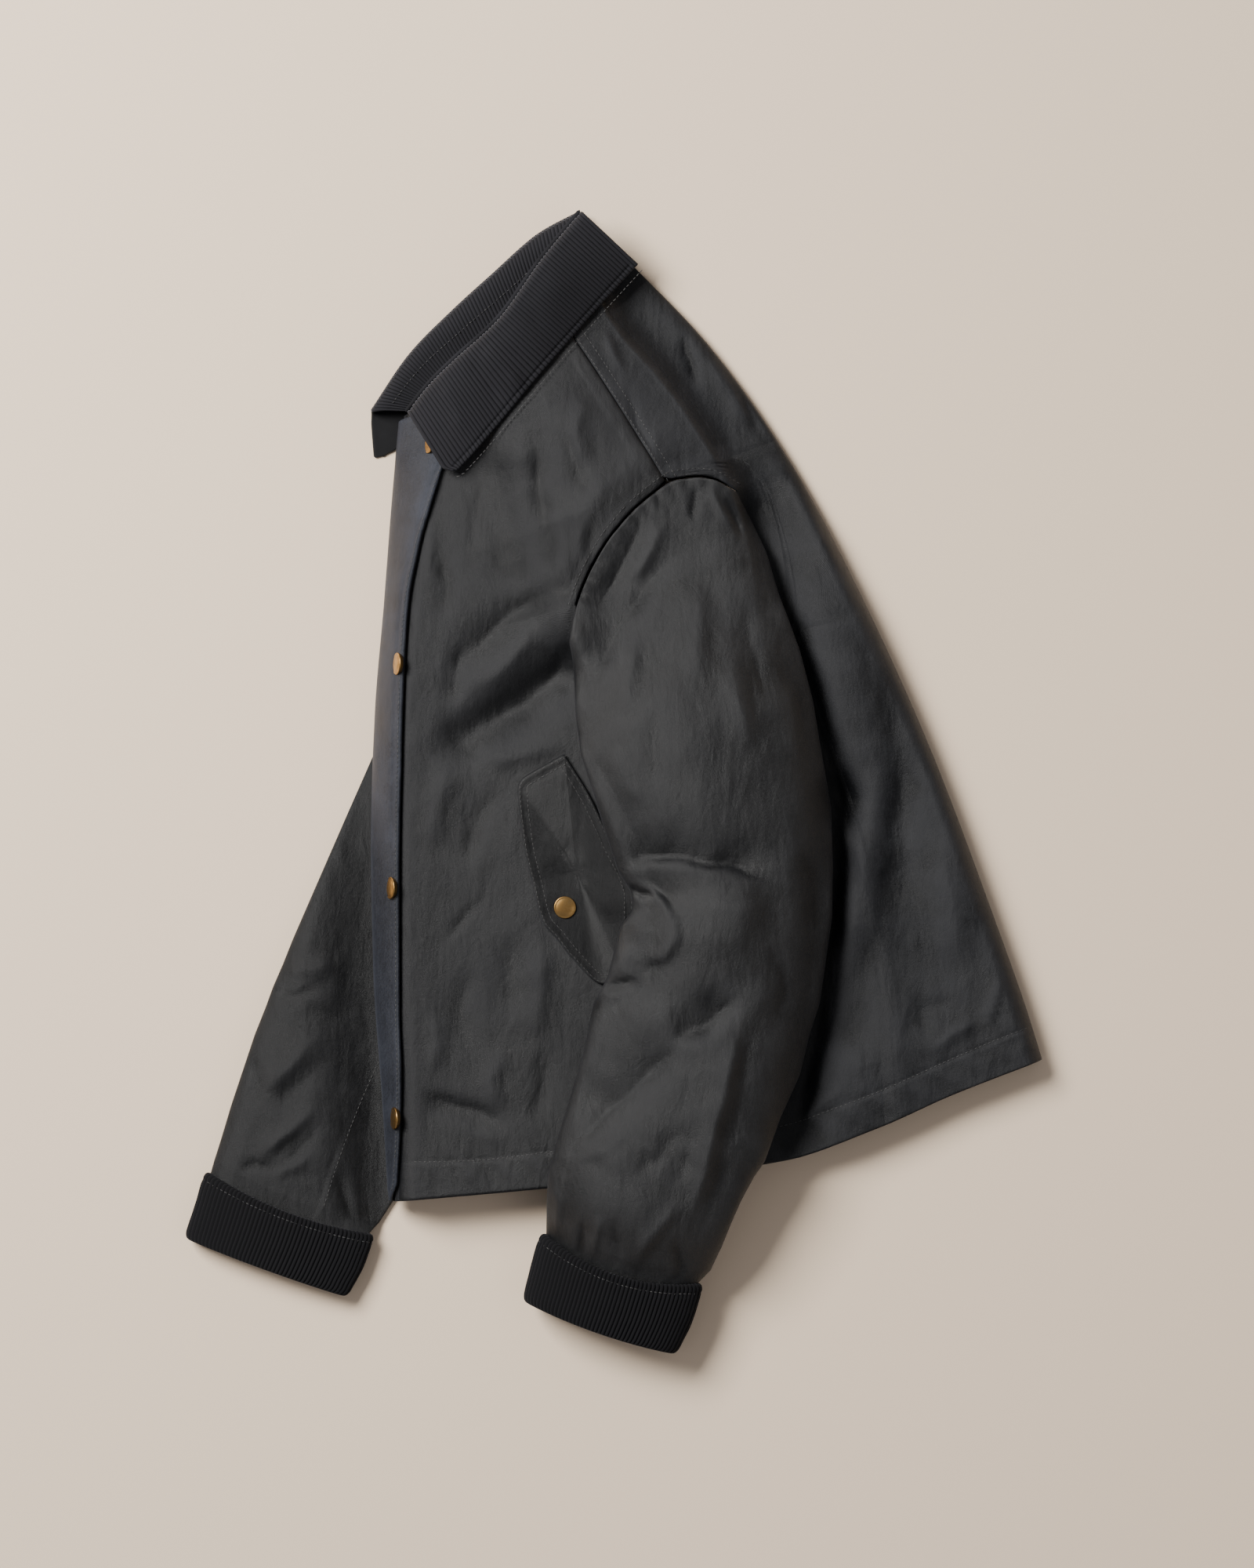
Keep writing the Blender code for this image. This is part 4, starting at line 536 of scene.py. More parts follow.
body = {
    # section, front fold x y, back fold x y, plan width of the steep front edge,
    # heights at the front, middle and back of the top layer
    "sections": (
        (0, -142.3, 248.6, 3, 361, 36, 27, 37, 24),
        (1, -147.6, 190.3, 64.9, 296.3, 29, 36, 47, 27),
        (2, -152.9, 121.4, 120.6, 216.8, 20, 40, 46, 28),
        (3, -159.3, 41.9, 170.9, 121.4, 19, 40, 41, 27),
        (4, -161.4, -42.9, 216, 20.7, 20, 38, 38, 26),
        (5, -159.8, -127.7, 254.1, -80, 19, 36, 34, 25),
        (6, -154, -212.5, 279.6, -151.6, 16, 33, 30, 24),
        (7, -149.7, -283, 290.7, -187.1, 12, 30, 27, 22),
    ),
    # share of the way from front to back, drop of the hem below its straight line
    "hemBow": (
        (0, 0), (0.24, 13.6), (0.42, 22.4), (0.61, 29.8), (0.75, 21.5), (0.86, 10.5), (1, 0),
    ),
    "neckHollow": 14,
    # painted light on the shoulder, paler where the yoke slopes up to the lamp: x, y, half width, how much
    "wearAndPaintedLight": ((-4, 250, 32, 2.2), (40, 236, 24, 0.9)),
    "cloth": 1.3,
    "sunk": 0.2,              # a panel's edges stand this far below its face
    "sectionLong": 75.0,      # from one section to the next, about
    "foldTurn": 6.0,          # the two folds stand this far above the lower layer
    "frontTurnWide": 9,
    "backRoundWide": 13,
    "sleeveLift": 7.6,        # lower layer over the right sleeve
    "leafLift": 4.6,          # and over the right collar leaf
    "liftRamp": 22,
    "shoulderStep": 15.5,     # fall from the shoulder to the back beside it
    "stepWide": 9,
    # broad folds: start, end, half width, height
    "folds": (
        (-60, 217, -33, 101, 17, 3.5),
        (-84, 206, -72, 150, 18, -4),
        (-38, 129, -97, 87, 15, -3),
        (-36, 70, -99, 31, 20, -7),
        (95, 178, 154, -12, 22, -10),
        (154, -12, 125, -232, 22, -10),
        (171, -12, 170, -94, 18, 3),
        (193, -4, 160, -168, 18, -4),
    ),
    "shoulderEdge": [
        (-4, 319), (9.3, 300.5), (30.5, 277.7), (49, 253.9), (67.6, 224.7),
        (84, 198), (96, 150), (100, 100),
    ],
    # creases: path, half width, height, lean to the path's left
    "creases": (
        ([(-86.1, 211.5), (-92.5, 185), (-95.7, 158.5), (-96.7, 134.6)], 12, -2, 0.1),
        ([(-52.2, 240.6), (-51.1, 211.5), (-46.9, 177), (-39.5, 133)], 18, -5.2, 0.5),
        ([(-37.4, 163.8), (-6.6, 198.2), (26.2, 226.3), (51.7, 253.9)], 20, 2.6, 0.35),
        ([(-43.7, 190.3), (-32.1, 158.5), (-27.8, 126.7)], 12, 2.6, 0.1),
        ([(-34.2, 134.1), (-49, 125.6), (-67.6, 116.1), (-86.1, 98.1), (-107.3, 77.9)], 15, -2.8, 0.3),
        ([(-55.4, 118.2), (-60.2, 94.9), (-77.6, 74.7), (-96.7, 62)], 8, 1.8, -0.1),
        ([(-25.7, 121.4), (-35.2, 79), (-56.4, 53.5), (-94.6, 35.5)], 21, -4.2, 0.3),
        ([(-25.2, 27), (-43.7, 24.4), (-70.2, 17.5), (-98.8, 15.4)], 9, 1.6, 0.2),
        ([(-16.2, 190.3), (-21.5, 163.8), (-20.4, 139.9)], 7, 2.2, 0.1),
        ([(-102, 94.9), (-104.7, 79), (-107.3, 49.8)], 9, -2.4, 0.2),
        ([(-19.9, 264.5), (-23.6, 232.7), (-21.5, 206.2)], 9, 2, 0.2),
        ([(-33.1, 243.3), (-25.2, 211.5), (-16.2, 190.3)], 7, -1.8, 0.1),
        ([(-86.1, -76.3), (-98.8, -90.6), (-113.7, -108.7)], 5, -1.3, 0.4),
        ([(-75.5, -0.5), (-90.4, -27), (-102, -58.8)], 9, -2, 0.2),
        ([(-110, 20.7), (-117.9, -11.1), (-122.2, -45.6)], 8, 1.8, 0),
        ([(-132.8, -208.3), (-97.8, -218.9), (-71.3, -233.7)], 11, -2.2, 0.4),
        ([(-124.3, -223.1), (-94.6, -233.7), (-70.2, -243.3)], 8, 1.2, 0.1),
        ([(-50.1, -104.4), (-49, -138.3), (-54.3, -175.4)], 10, 1.8, 0.3),
        ([(-63.9, -101.2), (-68.1, -130.4), (-70.2, -162.2)], 12, -1.8, 0),
        ([(-96.7, -119.8), (-103.1, -154.2), (-97.8, -188.7)], 11, -1.5, 0.2),
        ([(-75.5, -175.4), (-83.5, -201.9), (-75.5, -223.1)], 9, 1.8, 0),
        ([(-43.7, -175.4), (-49, -212.5), (-54.3, -233.7)], 10, -1.4, 0.1),
        ([(-124.3, -154.2), (-117.9, -175.4), (-122.2, -196.6)], 8, 1.6, 0),
        ([(-125.9, 185), (-122.2, 158.5), (-125.9, 126.7)], 7, 1.6, 0.1),
        ([(-117.9, 158.5), (-111.6, 134.6), (-114.7, 105.5)], 7, -1.6, 0.1),
        ([(94.1, 190.3), (115.3, 147.9), (134.4, 105.5), (151.3, 52.5), (163, -0.5), (166.2, -53.5),
            (160.9, -106.5), (145, -170.1)], 23, 4.6, -0.4),
        ([(152.4, -32.3), (150.3, -80), (145, -127.7)], 9, -2.2, 0.1),
        ([(141.8, -139.4), (134.4, -175.4), (121.6, -228.4)], 9, -3, 0.1),
        ([(147.1, 118.7), (168.3, 65.7), (181, 7.4), (178.9, -50.9), (170.4, -109.2)], 12, 1.2, 0.2),
        ([(157.7, 158.5), (184.2, 80.6), (194.8, 7.4), (196.9, -50.9), (193.7, -109.2),
            (183.1, -170.1)], 25, -2.4, 0),
        ([(218.6, -32.3), (229.8, -80), (232.9, -127.7)], 14, 3, 0.1),
        ([(263.7, -130.4), (257.3, -148.9), (252, -165.9)], 5, 2.2, 0.4),
        ([(160.3, 142.6), (167.2, 132), (172.5, 118.7)], 6, -1.2, 0.2),
        ([(194.8, -175.4), (208, -154.2), (234.5, -143.6)], 10, -1.3, 0.2),
        ([(213.3, -183.4), (229.2, -169.1), (247.8, -159.5)], 6, 1.6, 0.2),
        ([(120.6, 232.7), (139.1, 190.3), (155, 142.6)], 10, 2.4, 0.1),
        ([(78.2, 289.9), (95.1, 253.9), (111, 216.8)], 9, -2.4, 0.2),
        ([(47.4, 304.2), (51.7, 286.7), (55.9, 268.7)], 6, -2.4, 0.3),
        ([(64.9, 302.6), (80.3, 270.8), (93, 239)], 7, 2.2, 0.2),
        ([(9.3, 264.5), (15.6, 243.3), (28.4, 219.4)], 6, -1.8, 0.2),
        ([(-6.6, 306.9), (-0.3, 291), (9.3, 275.1)], 6, 1.6, 0.1),
        ([(120.6, -233.7), (141.8, -215.2), (157.7, -207.2)], 7, 1.8, 0.1),
        ([(210.7, -133), (208, -154.2), (216, -175.4)], 7, -1.8, 0.2),
    ),
    "crumpleHigh": 0.45,
}

armhole = {
    "front": (-25.2, 119.8),      # its front corner
    "back": (84.0, 197.7),        # its back corner
    # share of the chord between them, bow of the shoulder side
    "over": (
        (0, 0), (0.08, 7.5), (0.19, 16), (0.36, 25.6), (0.57, 31.6),
        (0.73, 32.6), (0.86, 25.5), (0.94, 16), (1, 0),
    ),
    # and of the underarm side
    "under": (
        (0, 0), (0.02, -26), (0.06, -48), (0.15, -63), (0.3, -66),
        (0.51, -60), (0.7, -46), (0.85, -29), (0.95, -13), (1, 0),
    ),
    "shoulderShare": 0.73,
    "sideShare": 0.15,
}

seams = {
    "gap": 0.08,
    "shoulder": [(-46, 328), (-37.4, 315.9), (-19.9, 291), (0.8, 259.2), (16, 235.3), (29, 212)],
    "side": [(13, 72), (46, 0), (58, -60), (60, -130), (50, -200), (36, -290)],
    # y, x of the underlap band's seam, x of the storm flap's free edge
    "frontEdge": (
        (252, -98, -103), (230, -102, -106), (211.5, -108.9, -115),
        (190.3, -115.5, -121.1), (158.5, -124.5, -129.3), (121.4, -131, -136.2),
        (79, -134, -139.1), (26, -135.8, -141.2), (-53.5, -136.6, -142.9),
        (-154.2, -136.5, -143), (-196.6, -136.2, -141.5), (-244.3, -135.6, -142.8),
        (-283, -135.4, -144.8),
    ),
    "hem": [(-149.7, -255.5), (-135.4, -255.5), (-96.7, -254.9), (-70.2, -252.3), (-41.1, -248.6),
        (-1.3, -244.3), (35.2, -240.6), (78.2, -237.4), (119, -230.6), (147.6, -220.5), (184.7, -206.2),
        (221.3, -189.7), (262.1, -172.2), (280.1, -165.4), (298.1, -157.4)],
}

# plan outlines of what lies under the body, seen from above
rightSleeveFoot = [
    (-24.4, 119.6), (-21, 82), (-8, 66), (22, 70), (52, 96), (76, 140), (83.2, 196.6),
    (88, 172), (86, 124), (62, 58), (22, -8), (-8, -54), (-32, -98), (-58, -143),
    (-83, -186), (-107, -226), (-134, -262), (-163, -304), (-272.5, -262), (-258.9, -217.8),
    (-243, -170), (-223.9, -122.4), (-203.8, -74.7), (-183, -27), (-163, 12), (-136, 40),
    (-98, 64), (-56, 88), (-34, 106),
]
rightLeafFoot = [
    (-23.5, 387.5), (-50.1, 373.2), (-83.5, 344.2), (-110.5, 319.6), (-138.5, 291), (-161.4, 252.2),
    (-162.5, 222), (-110, 236), (-76, 252), (-42, 279), (-8, 306), (12, 336),
]


# length of a body section between its two folds
def bodyWidth(row):
    t = body["sections"]
    return np.hypot(readTable(row, t, 3) - readTable(row, t, 1), readTable(row, t, 4) - readTable(row, t, 2))


# plan drop of a section below its straight line: the hem's bow below, a parabola at the neck
def sectionDrop(share, row):
    neck = body["neckHollow"] * 4 * share * (1 - share) * ease(1 - row / 1.2)
    return readTable(share, body["hemBow"], 1) * ease((row - 4.2) / 2.8) + neck


# plan point s along a section: a straight mix of its two ends, less its drop
def bodyPlan(s, row):
    share = s / bodyWidth(row)
    t = body["sections"]
    x = readTable(row, t, 1) * (1 - share) + readTable(row, t, 3) * share
    y = readTable(row, t, 2) * (1 - share) + readTable(row, t, 4) * share
    return x, y - sectionDrop(share, row)


finding = {
    "rows": (-1.0, 8.5, 191),        # first and last section tried, and how many
    "front": (0.0, -70.0),           # step from one section to the next past the body's ends,
    "back": (45.0, -55.0),           # at the front fold and at the back one
    "atOnce": 12000,                 # points in one stretch, which bounds the memory
    "rounds": 4,                     # of allowing for the drop
}


# the section through a plan point and the way along it, by the sign of the point's side of
# each section's line, on arrays taken a stretch at a time
def bodyFind(x, y):
    shape = np.shape(x)
    x, y = np.ravel(x).astype(float), np.ravel(y).astype(float)
    rows = np.linspace(*finding["rows"])
    ends = np.clip(rows, 0, 7)
    steps = (*finding["front"], *finding["back"])
    fx, fy, bx, by = (readTable(ends, body["sections"], k + 1) + (rows - ends) * steps[k] for k in range(4))
    width = np.hypot(bx - fx, by - fy)
    found = []
    for first in range(0, len(x), finding["atOnce"]):
        px, py = (part[first:first + finding["atOnce"]] for part in (x, y))
        drop = np.zeros(px.shape)
        for _ in range(finding["rounds"]):
            yy = py + drop
            side = ((bx - fx) * (yy[:, None] - fy) - (by - fy) * (px[:, None] - fx)) / width
            i = np.clip(np.argmax(side > 0, axis=-1), 1, len(rows) - 1)
            low, high = (np.take_along_axis(side, at[:, None], -1)[:, 0] for at in (i - 1, i))
            mix = np.clip(-low / (high - low), 0, 1)
            row = rows[i - 1] * (1 - mix) + rows[i] * mix
            sx, sy, ex, ey = (np.interp(row, rows, part) for part in (fx, fy, bx, by))
            w = np.hypot(ex - sx, ey - sy)
            s = ((px - sx) * (ex - sx) + (yy - sy) * (ey - sy)) / w
            drop = sectionDrop(np.clip(s / w, 0, 1), np.clip(row, 0, 7))
        found.append((np.clip(row, 0, 7), s))
    row, s = (np.concatenate(part) for part in zip(*found))
    return row.reshape(shape), s.reshape(shape)


# plan point of an armhole arc: its chord, bowed by the table
def armPoint(share, side):
    (x0, y0), (x1, y1) = armhole["front"], armhole["back"]
    bow = readTable(share, armhole[side], 1)
    length = math.hypot(x1 - x0, y1 - y0)
    dx, dy = x1 - x0, y1 - y0
    return x0 + dx * share - dy / length * bow, y0 + dy * share + dx / length * bow


# points along an armhole arc, from one share of it to another
def armLine(side, first, last, count):
    return [tuple(map(float, armPoint(share, side))) for share in np.linspace(first, last, count)]


armOver = armLine("over", 0, 1, 41)
armRing = armOver + armLine("under", 0.99, 0.01, 24)


# underside of the body: on the floor, or raised over the right sleeve and collar leaf
def lowHeight(x, y):
    sleeve = body["sleeveLift"] * ease(1 - outsideOf(x, y, rightSleeveFoot) / body["liftRamp"])
    leaf = body["leafLift"] * ease(1 - outsideOf(x, y, rightLeafFoot) / body["liftRamp"])
    return np.maximum(sleeve, leaf)


# fall of the cloth past the shoulder's edge: steep at that path and easing off with the way d
# beyond it, 1 - exp(-(d / stepWide) to the power 1.15), and fading along it
def shoulderFall(x, y):
    far, along, length, _, _ = alongPath(x, y, body["shoulderEdge"])
    fade = ease((1.0 - along / length) * 2.2)
    return body["shoulderStep"] * fade * (1 - np.exp(-(np.maximum(far + 2.5, 0) / body["stepWide"]) ** 1.15))


# hem: below its stitching the cloth is doubled and stands up, with slanted ripples between
def hemRelief(x, y):
    far, along, _, _, _ = alongPath(x, y, seams["hem"])
    below = ease(-far / 2.2)
    ripple = np.sin((along + far * 0.7) * 2 * np.pi / 23.0 + 2.6 * uneven(along, along * 0, 47.0, 9))
    return 0.35 * below + 0.42 * ripple * bell(far + 9.0, 11.0) - 0.25 * bell(far, 1.4)


# fine relief of the top layer: creases, crumple, seams and hem
def bodyRelief(x, y):
    total = creaseHeight(x, y, body["creases"])
    total = total + body["crumpleHigh"] * crumple(x, y, 21)
    total = total + seamRelief(x, y, seams["shoulder"][::-1], fold=8.0, rise=0.45, pucker=0.2, seed=31)
    # the armhole's raised fold lies on the body, outside the sleeve
    total = total + seamRelief(x, y, armOver, fold=5.5, rise=0.4, pucker=0.3, pitch=10.0, seed=33)
    return total + hemRelief(x, y)


# outer face of the top layer: heights mixed from front to back, rounded down to both folds
def topHeight(s, row, fine=True):
    t = body["sections"]
    width = bodyWidth(row)
    s = np.clip(s, 0, width)
    share = s / width
    x, y = bodyPlan(s, row)
    fx, fy = bodyPlan(np.zeros_like(s), row)
    bx, by = bodyPlan(width, row)
    lowFront, lowBack = lowHeight(fx, fy), lowHeight(bx, by)
    turn = body["foldTurn"] + lowFront * (1 - ease(share * 2)) + lowBack * ease(share * 2 - 1)
    edge = readTable(row, t, 5) + 4
    near = ease((s - edge) / (0.42 * width - edge))
    far = ease((share - 0.5) / 0.4)
    height = readTable(row, t, 6) * (1 - near) + readTable(row, t, 7) * near
    height = height * (1 - far) + readTable(row, t, 8) * far
    folds = np.zeros(np.shape(x))
    for x0, y0, x1, y1, wide, high in body["folds"]:
        away = np.abs(alongPath(x, y, [(x0, y0), (x1, y1)])[0])
        folds = folds + high * np.exp(-(away / wide) ** 2 * 1.6)
    height = height + folds * ease(s / edge - 0.4) - shoulderFall(x, y)
    if fine:
        height = height + bodyRelief(x, y) * ease(s / edge - 0.15) * ease((width - s) / 9.0)
    rise = roundOff(s / edge, 1.55) * roundOff((width - s) / body["backRoundWide"])
    return turn + (height - turn) * rise


# outer face of the lower layer: flat where it rests, turning up to both folds
def bottomHeight(s, row):
    width = bodyWidth(row)
    s = np.clip(s, 0, width)
    x, y = bodyPlan(s, row)
    backTurnWide = body["backRoundWide"] * 0.7
    turn = (1 - roundOff(s / body["frontTurnWide"])) + (1 - roundOff((width - s) / backTurnWide))
    return lowHeight(x, y) + body["foldTurn"] * turn


# a point of the body tube; q runs 0 to one width over the top layer, then back underneath
def bodyPoint(q, row):
    width = bodyWidth(row)
    top = q <= width
    s = np.where(top, q, 2 * width - q)
    over = s >= 0
    s = np.abs(s)                    # past the front fold q is minus: the lower layer again
    x, y = bodyPlan(s, row)
    z = np.where(top & over, topHeight(s, row), bottomHeight(s, row))
    return np.stack([x, y, z], axis=-1)


# knots of a map of the top layer's height in plan, with its fine relief and without
mapStep = 2.0
mapX, mapY = np.arange(-176.0, 306.0, mapStep), np.arange(-296.0, 372.0, mapStep)
mapRow, mapS = bodyFind(*np.meshgrid(mapX, mapY, indexing="ij"))
mapHigh = topHeight(mapS, mapRow)
mapPlain = topHeight(mapS, mapRow, False)


# height of the top layer at plan places: the map read back by straight mixing of its knots
def bodyTopAt(x, y, heights=mapHigh):
    u = np.clip((x - mapX[0]) / mapStep, 0, len(mapX) - 1.001)
    v = np.clip((y - mapY[0]) / mapStep, 0, len(mapY) - 1.001)
    i, j = u.astype(int), v.astype(int)
    return mixKnots(heights, i, j, i + 1, j + 1, u - i, v - j)


# a seam drawn in plan, as the way along each section at which it crosses
def seamAt(points, rows):
    pts = np.array(points, float)
    row, s = bodyFind(pts[:, 0], pts[:, 1])
    order = np.argsort(row)
    return np.interp(rows, row[order], s[order])


shoulderShare, sideShare = armhole["shoulderShare"], armhole["sideShare"]
overFront, overBack = armLine("over", shoulderShare, 0.0, 60), armLine("over", shoulderShare, 1.0, 60)
underFront, underBack = armLine("under", 0.002, sideShare, 30), armLine("under", 0.998, sideShare, 60)
sideLine = evenPath([underFront[-1]] + seams["side"][1:])
shoulderLine = evenPath(seams["shoulder"][:-1] + overFront[:1])

panelRows = np.linspace(0.0, 7.0, 236)
frontEdgeS = seamAt(shoulderLine[:-1] + overFront + underFront + sideLine[1:], panelRows) - seams["gap"]
backEdgeS = seamAt(shoulderLine[:-1] + overBack + underBack + sideLine[1:], panelRows) + seams["gap"]
edgeY = np.linspace(250.0, -283.0, 80)      # heights at which the front edge's two lines are found
bandRow, bandWay = bodyFind(readTable(edgeY, seams["frontEdge"], 1), edgeY)
flapRow, flapWay = bodyFind(readTable(edgeY, seams["frontEdge"], 2), edgeY)


# way to the underlap band's seam, kept short of the storm flap's free edge
def bandS(rows):
    return np.minimum(np.interp(rows, bandRow, bandWay), np.interp(rows, flapRow, flapWay) - 1.3)


# way to the storm flap's free edge, drawn back in an ease where it ends at the hem
def flapS(rows):
    return np.interp(rows, flapRow, flapWay) * (1 - 0.55 * ease((rows - 6.8) / 0.2))


# one panel of the body tube: a grid of sections against shares of the way between two
# limits, its cloth drawn in along its normals and thinned to a rounded edge at the seams
def bodyPanel(name, ways, finish):
    rows = np.repeat(panelRows[:, None], ways.shape[1], axis=1)
    outer = bodyPoint(ways, rows)
    width = bodyWidth(rows)
    upper = (ways >= 0) & (ways <= width)
    normal = gridNormals(outer)
    middle = normal[len(normal) // 2, :, 2] * np.where(upper[len(upper) // 2], 1, -1)
    normal = normal * np.sign(np.sum(middle))
    columns = np.minimum(ways - ways[:, :1], ways[:, -1:] - ways)
    ends = np.minimum(panelRows - panelRows[0], panelRows[-1] - panelRows)[:, None] * body["sectionLong"]
    sunk = body["sunk"] * (1 - roundOff(np.minimum(np.abs(columns), ends) / 0.6))[..., None]
    outer = outer - normal * sunk
    inner = outer - normal * (body["cloth"] - sunk)
    inner[..., 2] = np.maximum(inner[..., 2], 0.3)
    outer[..., 2] = np.maximum(outer[..., 2], 0.0)
    crest = crestMap(outer[..., 2], 4, 0.9)
    # the shoulder's patches of painted light raise the crest attribute, which pales the cloth there
    for x0, y0, wide, much in body["wearAndPaintedLight"]:
        crest = crest + much * bell(np.hypot(outer[..., 0] - x0, outer[..., 1] - y0), wide)
    return wallPiece(name, outer, inner, [finish, liningCotton], crest=crest, innerFinish=1)


# columns for a stretch of the top layer, then round the back fold and along the lower layer,
# spaced by the sine so that they crowd where the cloth turns
def waysAround(edge, widths, counts):
    edge, widths, wide = edge[:, None], widths[:, None], body["backRoundWide"]
    even = [np.linspace(0, 1, count)[None, :] for count in counts]
    turn = np.sin(even[1] * np.pi / 2)
    top = edge + (widths - wide - edge) * even[0][:, :-1]
    up = widths - wide + wide * turn[:, :-1]
    down = widths + wide * (1 - turn[:, ::-1])
    low = widths + wide + (widths - edge - wide) * even[2][:, 1:]
    return np.concatenate([top, up, down, low], axis=1)


rowWidths = bodyWidth(panelRows)
pieces = {}
frontWays = np.linspace(0, 1, 78)[None, :] * (frontEdgeS - bandS(panelRows) - seams["gap"])[:, None]
frontWays = frontWays + (bandS(panelRows) + seams["gap"])[:, None]
pieces["frontLeft"] = bodyPanel("left_front", frontWays, bodyCotton)
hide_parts("front_left")
pieces["back"] = bodyPanel("back_panel", waysAround(backEdgeS, rowWidths, (64, 15, 30)), backCotton)
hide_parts("back")
lower = np.linspace(0, 1, 34) ** 1.3
pieces["frontRight"] = bodyPanel("right_front", -frontEdgeS[:, None] * lower[::-1][None, :] - 0.6, bodyCotton)
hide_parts("front_right")
bandWays = 1.4 + (bandS(panelRows) - seams["gap"] - 1.4)[:, None] * np.linspace(0, 1, 15)[None, :]
pieces["band"] = bodyPanel("underlap_facing", bandWays, bodyCotton)
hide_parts("underlap_band")
print("jacket: body panels")


stormFlap = {
    "thick": 1.9,
    "clear": 0.9,             # off the underlap facing
    "standOff": 1.7,          # more at its free edge
    "stitched": 2.6,          # its topstitching in from that edge
    "ripple": 0.55,
}


# storm flap: the front edge's own surface raised along its normals, more towards the free
# edge, with slow ripples; share runs from under the front fold (0) to the free edge (1)
def flapBase(share, row):
    way = flapS(row)
    top = np.clip((share - 0.1) / 0.9, 0, 1)
    q = np.where(share < 0.1, -5.0 * (1 - share / 0.1), way * top ** 1.5)
    return bodyPoint(q, row), top


# both faces of the storm flap and its normals: a bead along its free edge, a groove where it
# is topstitched, and edges rounded by the way to the nearest of them
def flapWall(shares, rows):
    share, row = np.meshgrid(shares, rows)
    base, top = flapBase(share, row)
    normal = gridNormals(base)
    normal = normal * np.sign(normal[len(rows) // 2, -3, 2])
    down = row * body["sectionLong"]
    ripple = stormFlap["ripple"] * (uneven(down, top * 20, 34.0, 51) + 0.5 * uneven(down, top * 9, 13.0, 52))
    lift = stormFlap["clear"] * ease(share / 0.1) + stormFlap["standOff"] * ease(top * 1.6 - 0.6)
    lift = lift + ripple * top
    inner = base + normal * np.maximum(lift, 0.2)[..., None]
    inner[..., 2] = np.maximum(inner[..., 2], 1.0)
    free = flapS(row) * (1 - top) * 0.9
    ends = np.minimum(row - rows[0], rows[-1] - row) * body["sectionLong"]
    thick = stormFlap["thick"] * (0.35 + 0.65 * roundOff(np.minimum(free, ends) / 1.3))
    thick = thick - 0.45 * bell(free - stormFlap["stitched"], 0.8) + 0.25 * bell(free - 1.2, 0.9)
    outer = inner + normal * thick[..., None]
    outer[..., 2] = np.maximum(outer[..., 2], 0.1)
    return outer, inner, normal


flapRows = np.linspace(0.05, 7.0, 300)
flapShares = stepsOf((0, 0.1, 5), (0.1, 0.9, 18), (0.9, 1.0, 8))
flapOuter, flapInner, flapNormal = flapWall(flapShares, flapRows)
pieces["flap"] = wallPiece("storm_flap_front", flapOuter, flapInner, [flapPaintedLightCotton],
    crest=crestMap(flapOuter[..., 2], 3, 1.2))
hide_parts("storm_flap")
print("jacket: storm flap")

